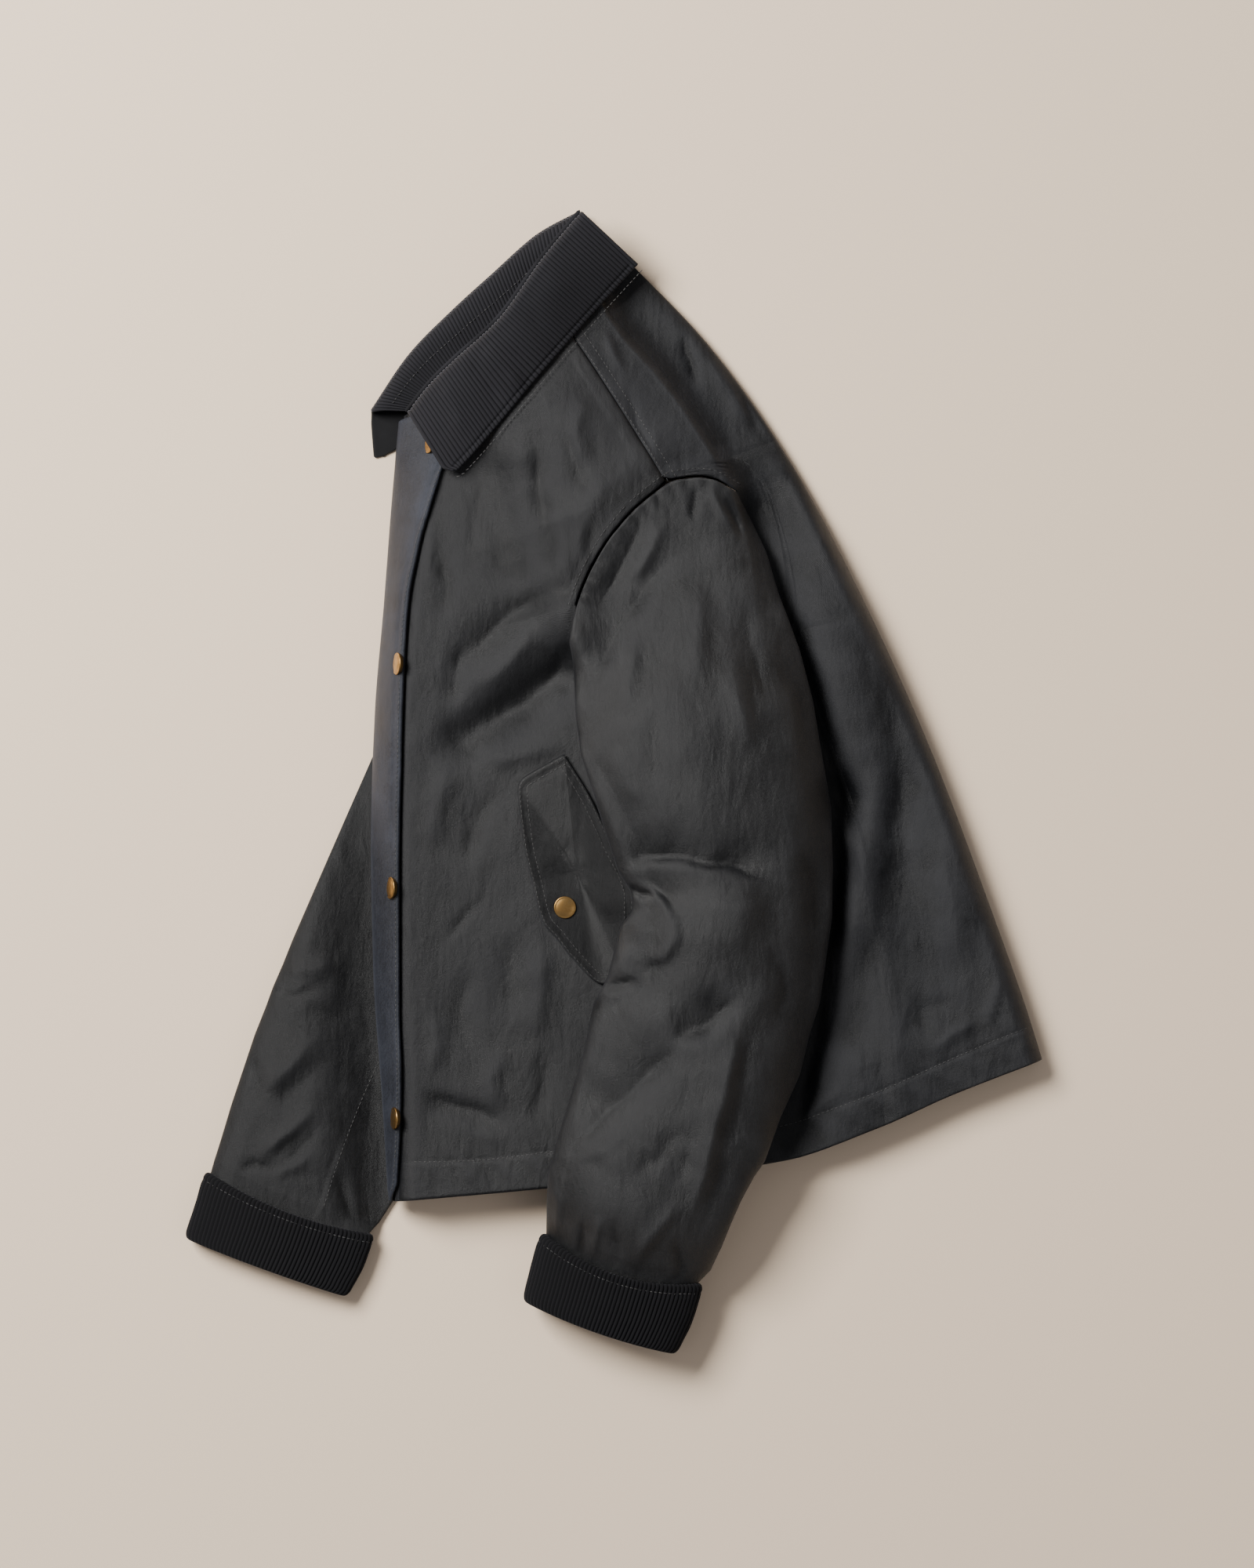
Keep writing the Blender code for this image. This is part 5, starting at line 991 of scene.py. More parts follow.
leftSleeve = {
    # section, front x y, back x y, drop of the middle, share of the armhole's shoulder arc,
    # height, height of the underside off the body, 1 where it is off it, share of underarm arc
    "sections": (
        (0, -24.4, 119.6, 83.2, 196.6, 0, 0.97, 6, 30, 0, 0.97),
        (0.35, -27.5, 108, 94, 176, 0, 0.78, 11, 30, 0, 0.98),
        (1, -29.4, 92.2, 107.3, 146.8, 0, 0.42, 19, 30, 0, 0.85),
        (2, -25.2, 49.8, 126.9, 88, 0, 0.1, 28, 30, 0, 0.5),
        (3, -17.2, 10.1, 141.8, 18, 0, 0, 33, 30, 0, 0.15),
        (4, -2.4, -35, 147.6, -32.3, 0, 0, 34, 30, 0, 0),
        (5, 12.5, -74.7, 147.1, -80, 0, 0, 33, 30, 0, 0),
        (6, 0.3, -114.5, 139.1, -141, 0, 0, 33, 30, 0, 0),
        (7, -14.6, -159.5, 125.9, -191.3, 2, 0, 33, 28, 0, 0),
        (8, -29.4, -207.2, 110, -233.7, 4, 0, 32, 27, 0, 0),
        (9, -40.5, -254.9, 88.8, -284.1, 8, 0, 31, 26, 0.35, 0),
        (10, -45.8, -303, 62, -337, 11, 0, 31, 9, 1, 0),
    ),
    "frontLine": [(-24.6, 118.7), (-32.1, 101.2), (-27.3, 89.6), (-25.2, 44.5), (-21.5, 18),
        (-14.6, -3.2), (-4, -37.6), (3.4, -59.9), (11.9, -73.1), (13, -85.3), (5, -95.9),
        (-4, -130.4), (-13.5, -148.9), (-19.9, -180.7), (-27.8, -207.2), (-38.4, -241.7),
        (-43.7, -262.9), (-45.3, -286.7), (-46.9, -304.2)],
    "backLine": [(81.9, 199.8), (116.3, 116.1), (125.9, 89.6), (134.9, 55.1), (139.1, 28.6),
        (147.1, -16.4), (148.1, -56.2), (147.6, -90.6), (139.1, -148.9), (132.2, -170.1), (125.9, -196.6),
        (112.6, -225.8), (102, -254.9), (94.6, -265.5), (86.1, -281.4), (79.2, -297.3), (72.9, -313.2),
        (63.9, -329.1), (59.1, -337.6)],
    "creases": (
        ([(24.6, 191.3), (15.6, 169.1), (5, 144.7), (-5, 126.7), (-13, 108.1)], 9, -3, 0),
        ([(35.8, 177), (26.2, 158.5), (12.5, 133)], 6.5, 2.8, 0),
        ([(45.3, 157.4), (25.7, 136.7), (11.4, 116.6), (1.3, 95.9), (-7.2, 80),
            (-17.2, 48.2)], 12, -4.4, 0.35),
        ([(55.9, 139.4), (58, 105.5), (57.5, 66.2)], 12, 2.6, 0.4),
        ([(64.9, 201.9), (71.8, 185), (81.4, 169.1)], 4.5, 2.4, 0.3),
        ([(57, 203.5), (54.9, 190.3), (51.7, 175.4)], 4.5, -2.2, 0),
        ([(71.8, 199.8), (79.2, 185), (88.8, 162.7)], 5, -2.2, 0),
        ([(15.6, 102.3), (11.4, 73.7), (7.7, 42.9)], 8, 2.4, 0.2),
        ([(78.2, 85.3), (86.1, 52.5), (91.4, 19.6)], 10, 2.2, 0.3),
        ([(115.3, 73.7), (122.7, 36.6), (124.8, 7.4)], 9, 2, 0.3),
        ([(86.1, 129.3), (94.1, 89.6), (102, 49.8)], 11, -2.6, 0),
        ([(29.4, 55.1), (26.2, 26), (28.4, -6.9)], 8, -2, 0.2),
        ([(-1.3, 26), (9.3, -0.5), (23.1, -16.4)], 8, 1.8, 0.1),
        ([(1.9, -61), (12.5, -51.9), (25.2, -48.2), (57, -51.9), (87.2, -58.3),
            (117.4, -68.4)], 13, -5.2, -0.7),
        ([(9.3, -104.4), (42.7, -91.7), (78.2, -85.3), (108.9, -77.9)], 21, 8, 0.3),
        ([(15.6, -66.2), (26.2, -70.5), (34.7, -80), (40.5, -91.7), (41.6, -102.3), (34.7, -114),
            (15.6, -121.4)], 6, 3.6, 0.5),
        ([(9.3, -69.4), (18.8, -74.2), (29.4, -75.8)], 5, -5, 0.1),
        ([(-6.6, -137.3), (5, -136.2), (18.8, -132)], 6, -4, 0.2),
        ([(-9.8, -130.9), (4, -122.4), (15.6, -106.5)], 9, 3, 0.1),
        ([(35.8, -173.3), (62.3, -163.8), (86.7, -141.5)], 16, -4.6, -0.5),
        ([(53.8, -169.1), (33.1, -186), (9.3, -209.9), (-21.5, -238)], 17, -5.8, 0.35),
        ([(87.7, -151.1), (83.5, -168), (78.2, -194), (70.8, -223.1), (61.2, -260.2),
            (50.6, -298.4)], 13, 5, 0.5),
        ([(-4.5, -137.3), (-17.2, -175.4), (-27.8, -208.3), (-37.4, -240.1)], 8, 2.4, 0),
        ([(10.3, -233.7), (-6.6, -247), (-28.9, -256)], 8, 1.4, 0.3),
        ([(4, -218.9), (-13, -233.7), (-32.1, -243.3)], 7, -1.2, 0.2),
        ([(51.7, -228.4), (30.5, -252.3), (9.3, -266.6)], 11, -1.2, 0.2),
        ([(54.3, -233.7), (46.4, -265.5), (51.7, -287.8)], 11, -1.2, 0),
        ([(-19.9, -293.1), (-21.5, -307.9), (-23.6, -319.6)], 5, -3, 0.2),
        ([(-8.7, -289.4), (-11.9, -305.3), (-14, -319.6)], 4.5, 2.6, 0),
        ([(0.8, -291), (2.9, -307.9), (5.6, -323.8)], 5.5, -2, 0.2),
        ([(42.1, -280.4), (29.4, -302.6), (12.5, -323.8)], 6.5, 2.2, 0.3),
        ([(40, -305.3), (44.3, -321.2), (47.4, -336.6)], 6, -2, 0),
        ([(-43.7, -265.5), (-37.4, -281.4), (-39.5, -303.7)], 6, 2, 0),
        ([(107.3, -106.5), (115.3, -138.3), (110, -171.2)], 10, -2.4, 0),
        ([(125.9, -42.9), (136.5, -69.4), (136.5, -106.5)], 9, -2.2, 0.1),
    ),
    "crown": 4.0,              # extra height a third of the way across, fading to the back
    "ceiling": (69.0, 9.0),    # height above which the top is held down, and within how much
    "crumpleHigh": 0.55,
    "seed": 61,
    "cloth": 1.2,
    "slide": 1.6,
    "pocketUnder": (4.0, 14.0),   # rise over the pocket flap, and within how far of it
    "sewn": 2.6,               # sections down to which the top is drawn to the body
    "headRise": (4.2, 26.0),   # its rise off the body there, and how far from the armhole
}

rightSleeve = {
    # section, front x y, back x y, drop of the middle, shares of the armhole's two arcs
    "sections": (
        (0, -24.4, 119.6, 83.2, 196.6, 0, 0.97, 0.97),
        (0.35, -34, 106, 88, 172, 0, 0.7, 1.03),
        (1, -56, 88, 86, 124, 0, 0.34, 0.9),
        (2, -98, 64, 62, 58, 0, 0.06, 0.6),
        (3, -136, 40, 22, -8, 0, 0, 0.22),
        (4, -163, 12, -8, -54, 0, 0, 0),
        (5, -183, -27, -32, -98, 0, 0, 0),
        (6, -203.8, -74.7, -58, -143, 0, 0, 0),
        (7, -223.9, -122.4, -83, -186, 0, 0, 0),
        (8, -243, -170, -107, -226, 1, 0, 0),
        (9, -258.9, -217.8, -134, -262, 4, 0, 0),
        (10, -272.5, -262, -163, -304, 6, 0, 0),
    ),
    "frontLine": [(-161.4, 22.3), (-183.1, -27), (-203.8, -74.7), (-217.6, -106.5), (-223.9, -122.4),
        (-230.8, -138.3), (-235.6, -151.6), (-243, -170.1), (-258.9, -217.8), (-271.6, -260.2)],
    "backLine": [(-117.9, -233.7), (-139.1, -265.5), (-149.2, -283), (-158.2, -296.8), (-161.4, -305.3)],
    "thick": 17.5,
    "opens": 48.0,             # past the front fold it grows to its full thickness within this
    "seam": [(-141.8, -143.6), (-157.1, -179.1), (-165.6, -196.6), (-178.9, -228.4), (-189.5, -257.6),
        (-199, -287.8)],
    "creases": (
        ([(-149.7, 7.4), (-165.6, -27), (-181.5, -58.8)], 11, -2, 0.2),
        ([(-147.1, -32.3), (-160.3, -64.1), (-173.6, -93.3)], 10, 1.8, 0.1),
        ([(-231.9, -137.3), (-217.6, -143.6), (-198.5, -139.4)], 6, -1.5, 0.4),
        ([(-226, -127.7), (-202.7, -126.7), (-178.9, -118.2)], 7, 1.6, 0.2),
        ([(-202.7, -114.5), (-189.5, -133), (-192.1, -154.2)], 9, 1.8, 0.2),
        ([(-217.6, -146.8), (-192.1, -159.5), (-165.6, -150)], 11, -1.3, 0.3),
        ([(-200.1, -170.1), (-218.6, -192.4), (-239.8, -208.3)], 10, 2, 0.3),
        ([(-189.5, -180.7), (-210.7, -201.9), (-234.5, -222.1)], 11, -1.3, 0.1),
        ([(-199.5, -219.4), (-217.6, -236.9), (-241.9, -251.8)], 6.5, 2.2, 0.4),
        ([(-195.3, -228.4), (-208, -244.3), (-220.7, -257.1)], 8, -1.2, 0.2),
        ([(-231.9, -265.5), (-217.6, -260.2), (-201.7, -248.6)], 5, 2, 0.3),
        ([(-254.7, -260.2), (-242.5, -257.6), (-228.2, -263.4)], 6, -1.8, 0.2),
        ([(-246.2, -180.7), (-239.8, -201.9), (-244.1, -223.1)], 9, -1.6, 0.1),
        ([(-160.3, -212.5), (-165.6, -239), (-173.6, -265.5)], 8, -1.8, 0.1),
        ([(-187.9, -261.3), (-181.5, -281.4), (-175.2, -299.4)], 4.5, -3, 0.4),
        ([(-178.3, -263.4), (-173, -281.4), (-168.8, -297.3)], 4.5, 2.4, 0),
        ([(-165.6, -183.4), (-173.6, -212.5), (-181.5, -239)], 7, 1.6, 0),
    ),
    "crumpleHigh": 0.5,
    "seed": 81,
    "cloth": 1.2,
    "slide": 1.6,
}


# a turn round a tube, 0 to 1 over its top from front to back and 1 to 2 back underneath: whether
# it is on top, its share of the way across by the cosine, and its rise by the sine
def turned(turn):
    over = turn <= 1.0
    half = np.pi * np.where(over, turn, 2.0 - turn)
    return over, (1 - np.cos(half)) / 2, np.abs(np.sin(half))


# plan point across a sleeve section: its chord, bowed by the armhole's arc and the hem side's
# parabola; the two ends are drawn onto the sleeve's edge lines where those are given
def sleevePlan(sleeve, row, share, over, overColumn, underColumn):
    t = sleeve["sections"]
    ends = []
    for side, first in (("frontLine", 1), ("backLine", 3)):
        px, py = readTable(row, t, first), readTable(row, t, first + 1)
        far, _, _, nx, ny = alongPath(px, py, sleeve[side])
        near = ease((row - 0.7) / 0.8) * ease((9.98 - row) / 0.5) * ease((12.0 - np.abs(far)) / 5.0)
        ends += [px + (nx - px) * near, py + (ny - py) * near]
    fx, fy, bx, by = ends
    dx, dy = bx - fx, by - fy
    length = np.hypot(dx, dy)
    arc = np.where(
        over,
        readTable(share, armhole[overColumn[0]], 1) * readTable(row, t, overColumn[1]),
        readTable(share, armhole[underColumn[0]], 1) * readTable(row, t, underColumn[1]),
    )
    arc = arc - 4 * share * (1 - share) * readTable(row, t, 5)
    return fx + dx * share - dy / length * arc, fy + dy * share + dx / length * arc


# fine relief of a sleeve's upper face: its creases and crumple, and at the armhole the small
# gathers of the eased-in head, a sine along the seam that dies away from it
def sleeveRelief(sleeve, x, y, head=0.0):
    total = creaseHeight(x, y, sleeve["creases"])
    total = total + sleeve["crumpleHigh"] * crumple(x, y, sleeve["seed"])
    if head:
        far, along, _, _, _ = alongPath(x, y, armOver)
        gathers = np.sin(along * 2 * np.pi / 12.5 + 2.0 * uneven(along, along * 0, 37.0, 44))
        total = total + head * gathers * bell(far, 11.0)
    return total


pocketFlap = {
    "outline": [
        (-33.1, 19.6), (-57, 6.2), (-62, 2.6), (-64.4, -3), (-61.2, -37.6), (-54.3, -69.4),
        (-48, -93.3), (-38.4, -104.9), (-27.8, -118.2), (-6, -136), (8, -128), (14, -100),
        (14, -78), (-2, -37.6), (-17.2, -5.8),
    ],
    "thick": 2.5,
    "clear": 0.35,            # off the front's cloth
    "stitched": (6.4, 1.6),   # its two rows of topstitching, in from its edge
}


# left sleeve: the upper face rises by the sine of the turn to the power 0.8, is sewn down to
# the body at the armhole and has a soft ceiling; the underside lies on the body and its flap
def leftSleevePoint(row, turn, inset):
    over, share, lift = turned(turn)
    x, y = sleevePlan(leftSleeve, row, share, over, ("over", 6), ("under", 10))
    t = leftSleeve["sections"]
    off = ease(readTable(row, t, 9))
    rest = np.maximum(bodyTopAt(x, y), bodyTopAt(x, y, mapPlain)) + leftSleeve["slide"]
    pocket, pocketRamp = leftSleeve["pocketUnder"]
    rest = rest + pocket * ease(1 - (outsideOf(x, y, pocketFlap["outline"]) - 3) / pocketRamp)
    middle = rest * (1 - off) + readTable(row, t, 8) * off + readTable(row, t, 7) / 2
    high = readTable(row, t, 7) / 2 - inset
    sewn = ease(1 - row / leftSleeve["sewn"]) * ease((lift - 0.30) / 0.7)
    top = middle + high * lift ** 0.8
    headRise, headWide = leftSleeve["headRise"]
    cloth = headRise * ease(outsideOf(x, y, armRing) / headWide)
    cloth = cloth + 0.5 * ease(row / 0.3) + 0.15 * ease(1 - row / 0.25)
    top = top * (1 - sewn) + (bodyTopAt(x, y, mapPlain) - inset + cloth) * sewn
    top = top + sleeveRelief(leftSleeve, x, y, 0.55) * ease(lift * 2.4)
    top = top + leftSleeve["crown"] * bell(share - 0.34, 0.24) * (1 - sewn)
    free, soft = leftSleeve["ceiling"]
    top = np.where(top > free, free + soft * np.tanh((top - free) / soft), top)
    under = middle - high * lift ** 0.38
    return np.stack([x, y, np.where(over, top, under)], axis=-1)


# right sleeve: the same, lying on the floor; flat under the body, fuller past its front fold
def rightSleevePoint(row, turn, inset):
    over, share, lift = turned(turn)
    x, y = sleevePlan(rightSleeve, row, share, over, ("under", 7), ("over", 6))
    fold = readTable(np.clip(y, -283.0, 248.0), body["sections"], 1, key=2)
    past = np.maximum(fold - x, -286.0 - y)
    roof = body["sleeveLift"] - rightSleeve["slide"] - 0.2
    clear = ease((past - 4) / rightSleeve["opens"])
    thick = roof + (rightSleeve["thick"] - roof) * clear
    high = thick / 2 - inset
    top = thick / 2 + high * lift ** 0.6
    seam = seamRelief(x, y, rightSleeve["seam"], fold=-30.0, rise=0.0, pucker=0.25, seed=83)
    seam = seam + 0.9 * ease(0.5 + alongPath(x, y, rightSleeve["seam"])[0] / 1.6)
    top = top + (sleeveRelief(rightSleeve, x, y) + seam) * ease(lift * 2.0) * clear
    under = thick / 2 - high * lift ** 0.3
    return np.stack([x, y, np.where(over, top, under)], axis=-1)


cuffs = {
    "wall": 2.4,
    "lap": 7.0,               # sleeve end inside the cuff
    "stitched": 5.8,          # topstitching below the cuff's upper edge
    # section, front x y, back x y, drop of the middle, height, height of the underside
    "left": (
        (0, -48.6, -303.6, 60.6, -338.6, 11, 34, 7),
        (1, -55.5, -328, 52.5, -363, 9, 35, 4.5),
        (2, -60.6, -350.6, 41.6, -386.2, 2.8, 36, 2),
    ),
    "right": (
        (0, -276, -262.8, -162, -306, 6, 19, 0),
        (1, -282.8, -286, -170.5, -327.5, 3.5, 19.5, 0),
        (2, -289.8, -308.5, -181, -348, 1, 20, 0),
    ),
}


# cuff section: a flattened ring about its chord, drawn in from its outer face by an inset and
# from its two sides by a tuck
def cuffPoint(table, row, turn, inset, tuck=0.0):
    over, share, lift = turned(turn)
    fx, fy, bx, by = readColumns(row, table, 1, 2, 3, 4)
    length = np.hypot(bx - fx, by - fy)
    thick, under = readTable(row, table, 6), readTable(row, table, 7)
    across, high = length / 2 - inset - tuck, thick / 2 - inset
    flat = (2 * share - 1) * across
    ux, uy = (bx - fx) / length, (by - fy) / length
    bow = -4 * share * (1 - share) * readTable(row, table, 5)
    x = (fx + bx) / 2 + ux * flat - uy * bow
    y = (fy + by) / 2 + uy * flat + ux * bow
    z = under + thick / 2 + np.where(over, high * lift ** 0.62, -high * lift ** 0.5)
    return np.stack([x, y, z], axis=-1)


# corduroy ribs: from groove to groove the root of a sine's size, so crests are broad and
# round and grooves narrow
def waleHeight(phase):
    return np.abs(np.sin(np.pi * phase)) ** 0.55


# turned-back cuff: ribs along the arm, a rounded fold at the mouth and at its upper edge, a
# groove where its topstitching pulls in, and a plain inside
def makeCuff(name, table, node, seed):
    dense = np.linspace(0, 2, 1441)
    path = cuffPoint(table, np.full(dense.shape, 1.0), dense, 0.0)
    far = wayTo(path)
    wales = int(round(far[-1] / corduroy["wale"]))
    phase = np.arange(wales * 6) / 6.0
    turns = np.interp(phase / wales * far[-1], far, dense)
    crest = waleHeight(phase)
    rows = [0, 0.01, 0.03, 0.06, 0.1, *np.linspace(0.15, 1.85, 26), 1.9, 1.94, 1.97, 1.99, 2]
    row, turn = np.meshgrid(rows, turns, indexing="ij")
    span = np.hypot(table[2][1] - table[0][1], table[2][2] - table[0][2]) / 2
    ends = np.minimum(row, 2 - row) * span
    rounded = 1 - roundOff(ends / 1.3)
    wall = cuffs["wall"]
    stitched = 0.55 * bell(row * span - cuffs["stitched"], 1.0)
    soft = 0.5 * uneven(turn * 60, row * 22, 17.0, seed) + 0.35 * uneven(turn * 60, row * 22, 8.0, seed + 1)
    rib = corduroy["depth"] * (1 - crest[None, :]) * (1 - 0.6 * rounded)
    corner = 3.2 * (1 - roundOff(ends / 6.0)) - 1.0
    outer = cuffPoint(table, row, turn, rib + stitched + rounded * wall / 2 - soft * 0.6, corner)
    inner = cuffPoint(table, row, turn, wall - rounded * wall / 2 * 0.9 - soft * 0.3, corner)
    outer[..., 2], inner[..., 2] = np.maximum(outer[..., 2], 0.0), np.maximum(inner[..., 2], 0.6)
    # the ribs' crests set the colour, lowered along the topstitching as painted shade in its groove
    crests = np.repeat(crest[None, :], len(rows), axis=0) * (1 - 0.4 * stitched)
    obj = wallPiece(name, outer, inner, [ribbedCuff], closedRound=True, crest=crests)
    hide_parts(node)
    return obj


# sleeve tube: sections against turns, its last ones passing inside the cuff
def makeSleeve(name, point, sleeve, table, nodes, finish):
    turns = stepsOf((0, 1, 112), (1, 2, 44))[:-1]
    rows = stepsOf((0, 1, 34), (1, 9.85, 150))
    row, turn = np.meshgrid(rows, turns, indexing="ij")
    span = math.hypot(table[1][1] - table[0][1], table[1][2] - table[0][2])
    lapRows = np.array([0.0, 0.5, 1.0]) * cuffs["lap"] / span
    lapRow, lapTurn = np.meshgrid(lapRows, turns, indexing="ij")
    walls = []
    for inset in (0.0, sleeve["cloth"]):
        tube = point(row, turn, inset)
        mouth = cuffPoint(table, lapRow, lapTurn, cuffs["wall"] + 1.0 + inset)
        tube[..., 2] = np.maximum(tube[..., 2], 0.35 * inset)
        walls.append(np.concatenate([tube, mouth]))
    crest = crestMap(walls[0][..., 2], 4, 1.0)
    obj = wallPiece(name, walls[0], walls[1], [finish, liningCotton], closedRound=True, crest=crest,
        innerFinish=1)
    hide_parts(*nodes)
    return obj


pieces["sleeveLeft"] = makeSleeve(
    "left_sleeve", leftSleevePoint, leftSleeve, cuffs["left"], ("sleeve_left_top", "sleeve_left_under"),
    sleeveCotton)
pieces["sleeveRight"] = makeSleeve(
    "right_sleeve", rightSleevePoint, rightSleeve, cuffs["right"], ("sleeve_right_top", "sleeve_right_under"),
    farSleeveShadedCotton)
pieces["cuffLeft"] = makeCuff("left_cuff", cuffs["left"], "cuff_left", 71)
pieces["cuffRight"] = makeCuff("right_cuff", cuffs["right"], "cuff_right", 73)
print("jacket: sleeves and cuffs")


collar = {
    "wall": 2.3,
    "roll": 3.2,               # radius of the left half's turn
    "stitched": 4.2,           # topstitching of the fall, in from its edges
    # section from the centre back to the front, roll line x y z, edge of the fall x y and its
    # least height, place on the neck seam, height above the body there
    "left": (
        (0, -21.6, 386.5, 36, 17.2, 350.4, 27, 0.85, 4.6),
        (1, -48.2, 353.5, 47, -10, 320.5, 30, 0.71, 3.8),
        (2, -77.6, 312.5, 51, -43.7, 281.4, 30, 0.55, 3.4),
        (3, -106.4, 286, 50, -75.5, 243.3, 30, 0.38, 4.5),
        (4, -124, 269, 45, -92, 224, 30, 0.22, 9),
        (5, -139.5, 250, 38, -110.6, 204.6, 30, 0.08, 9),
    ),
    # section, roll line x y z, place on the neck seam, edge of the leaf x y
    "right": (
        (0, -23.5, 387.5, 20, 0.86, 12, 336),
        (1, -50.1, 373.2, 19, 0.72, -8, 306),
        (2, -83.5, 344.2, 18, 0.55, -42, 279),
        (3, -110.5, 319.6, 17, 0.38, -76, 252),
        (4, -138.5, 291, 16, 0.22, -110, 252),
        (5, -165, 252.2, 15, 0.1, -162, 213.5),
    ),
    # bends: path, half width, height, lean
    "bends": (
        ([(-90.4, 297.3), (-75.5, 282.5), (-56.4, 261.8)], 7, 2.6, 0.1),
        ([(-99.4, 288.3), (-87.2, 272.4), (-70.2, 253.9)], 7, -1.8, 0.1),
        ([(-49, 346.6), (-27.8, 328.1), (-1.3, 306.9)], 10, 1.2, 0),
        ([(-64.9, 321.7), (-49, 304.2), (-27.8, 283)], 9, -1.2, 0),
        ([(-117.9, 272.4), (-107.3, 253.9), (-102, 232.7)], 8, 1.3, 0),
    ),
}


# sections at even steps along a roll line, and the line's length
def alongRoll(table, count):
    dense = np.linspace(0, 5, 601)
    far = wayTo(np.stack([readTable(dense, table, 1), readTable(dense, table, 2)], axis=-1))
    return np.interp(np.linspace(0, far[-1], count), far, dense), far[-1]


# a rounded front corner: near the last section and the free edge both are drawn back, each by
# the square of an ease of the other
def cornered(row, share, along, across):
    back = along * ease((share - 0.82) / 0.18) ** 2 * ease((row - 4.4) / 0.6)
    return row - back, share * (1 - across * ease((row - 4.72) / 0.28) ** 2)


# outer face of the left fall: from the roll line (0) to its free edge (1), arched, always
# clear of the body and of the storm flap in front
def fallPoint(row, share):
    t = collar["left"]
    row, share = cornered(row, share, 0.16, 0.04)
    rx, ry, rz, ex, ey, ez = readColumns(row, t, 1, 2, 3, 4, 5, 6)
    clear = collar["wall"] + 2.0 + 5.4 * ease((row - 3.0) / 1.2)
    x, y = rx + (ex - rx) * share, ry + (ey - ry) * share
    edgeHigh = np.maximum(bodyTopAt(ex, ey, mapPlain) + clear, ez)
    z = rz + (edgeHigh - rz) * share + 4.0 * np.sin(np.pi * share ** 0.8)
    z = np.maximum(z, bodyTopAt(x, y, mapPlain) + clear)
    drop = collar["roll"] * 1.6 * (1 - roundOff(share / 0.1))
    return np.stack([x, y, z - drop], axis=-1)


# place on the neck seam, just inside the body's edge
def neckPlace(share):
    row = np.full(np.shape(share), 0.06)
    return bodyPlan(share * bodyWidth(row), row)


# neck face of the left stand, from under the roll line (0) down to the neck seam (1)
def standPoint(row, share):
    t = collar["left"]
    rx, ry, rz = readColumns(row, t, 1, 2, 3)
    nx, ny = neckPlace(readTable(row, t, 7))
    nz = bodyTopAt(nx, ny, mapPlain) + readTable(row, t, 8)
    top = rz - collar["roll"] * 1.6 - 0.8
    dip = collar["wall"] * 1.6 * roundOff(share / 0.3)
    z = top + (nz - top) * share - dip * (1 - share)
    return np.stack([rx + (nx - rx) * share, ry + (ny - ry) * share, z], axis=-1)


# neck face of the right half, from its roll at the outline (0) to the neck seam (1)
def rightBandPoint(row, share):
    t = collar["right"]
    rx, ry, rz = readColumns(row, t, 1, 2, 3)
    place = readTable(row, t, 4)
    nx, ny = neckPlace(place)
    neckRow = np.full(np.shape(place), 0.06)
    nz = bottomHeight(place * bodyWidth(neckRow), neckRow) + 1.8 + collar["wall"] + 1.2
    z = rz + (nz - rz) * share - rz / 2 * (1 - roundOff(share / 0.3))
    return np.stack([rx + (nx - rx) * share, ry + (ny - ry) * share, z], axis=-1)


# floor face of the right leaf, from the roll (0) to its edge under the body (1)
def rightLeafPoint(row, share):
    t = collar["right"]
    row, share = cornered(row, share, 0.12, 0.07)
    rx, ry, rz, lx, ly = readColumns(row, t, 1, 2, 3, 5, 6)
    z = (rz / 2 - 0.8) * (1 - roundOff(share / 0.2))
    return np.stack([rx + (lx - rx) * share, ry + (ly - ry) * share, z], axis=-1)


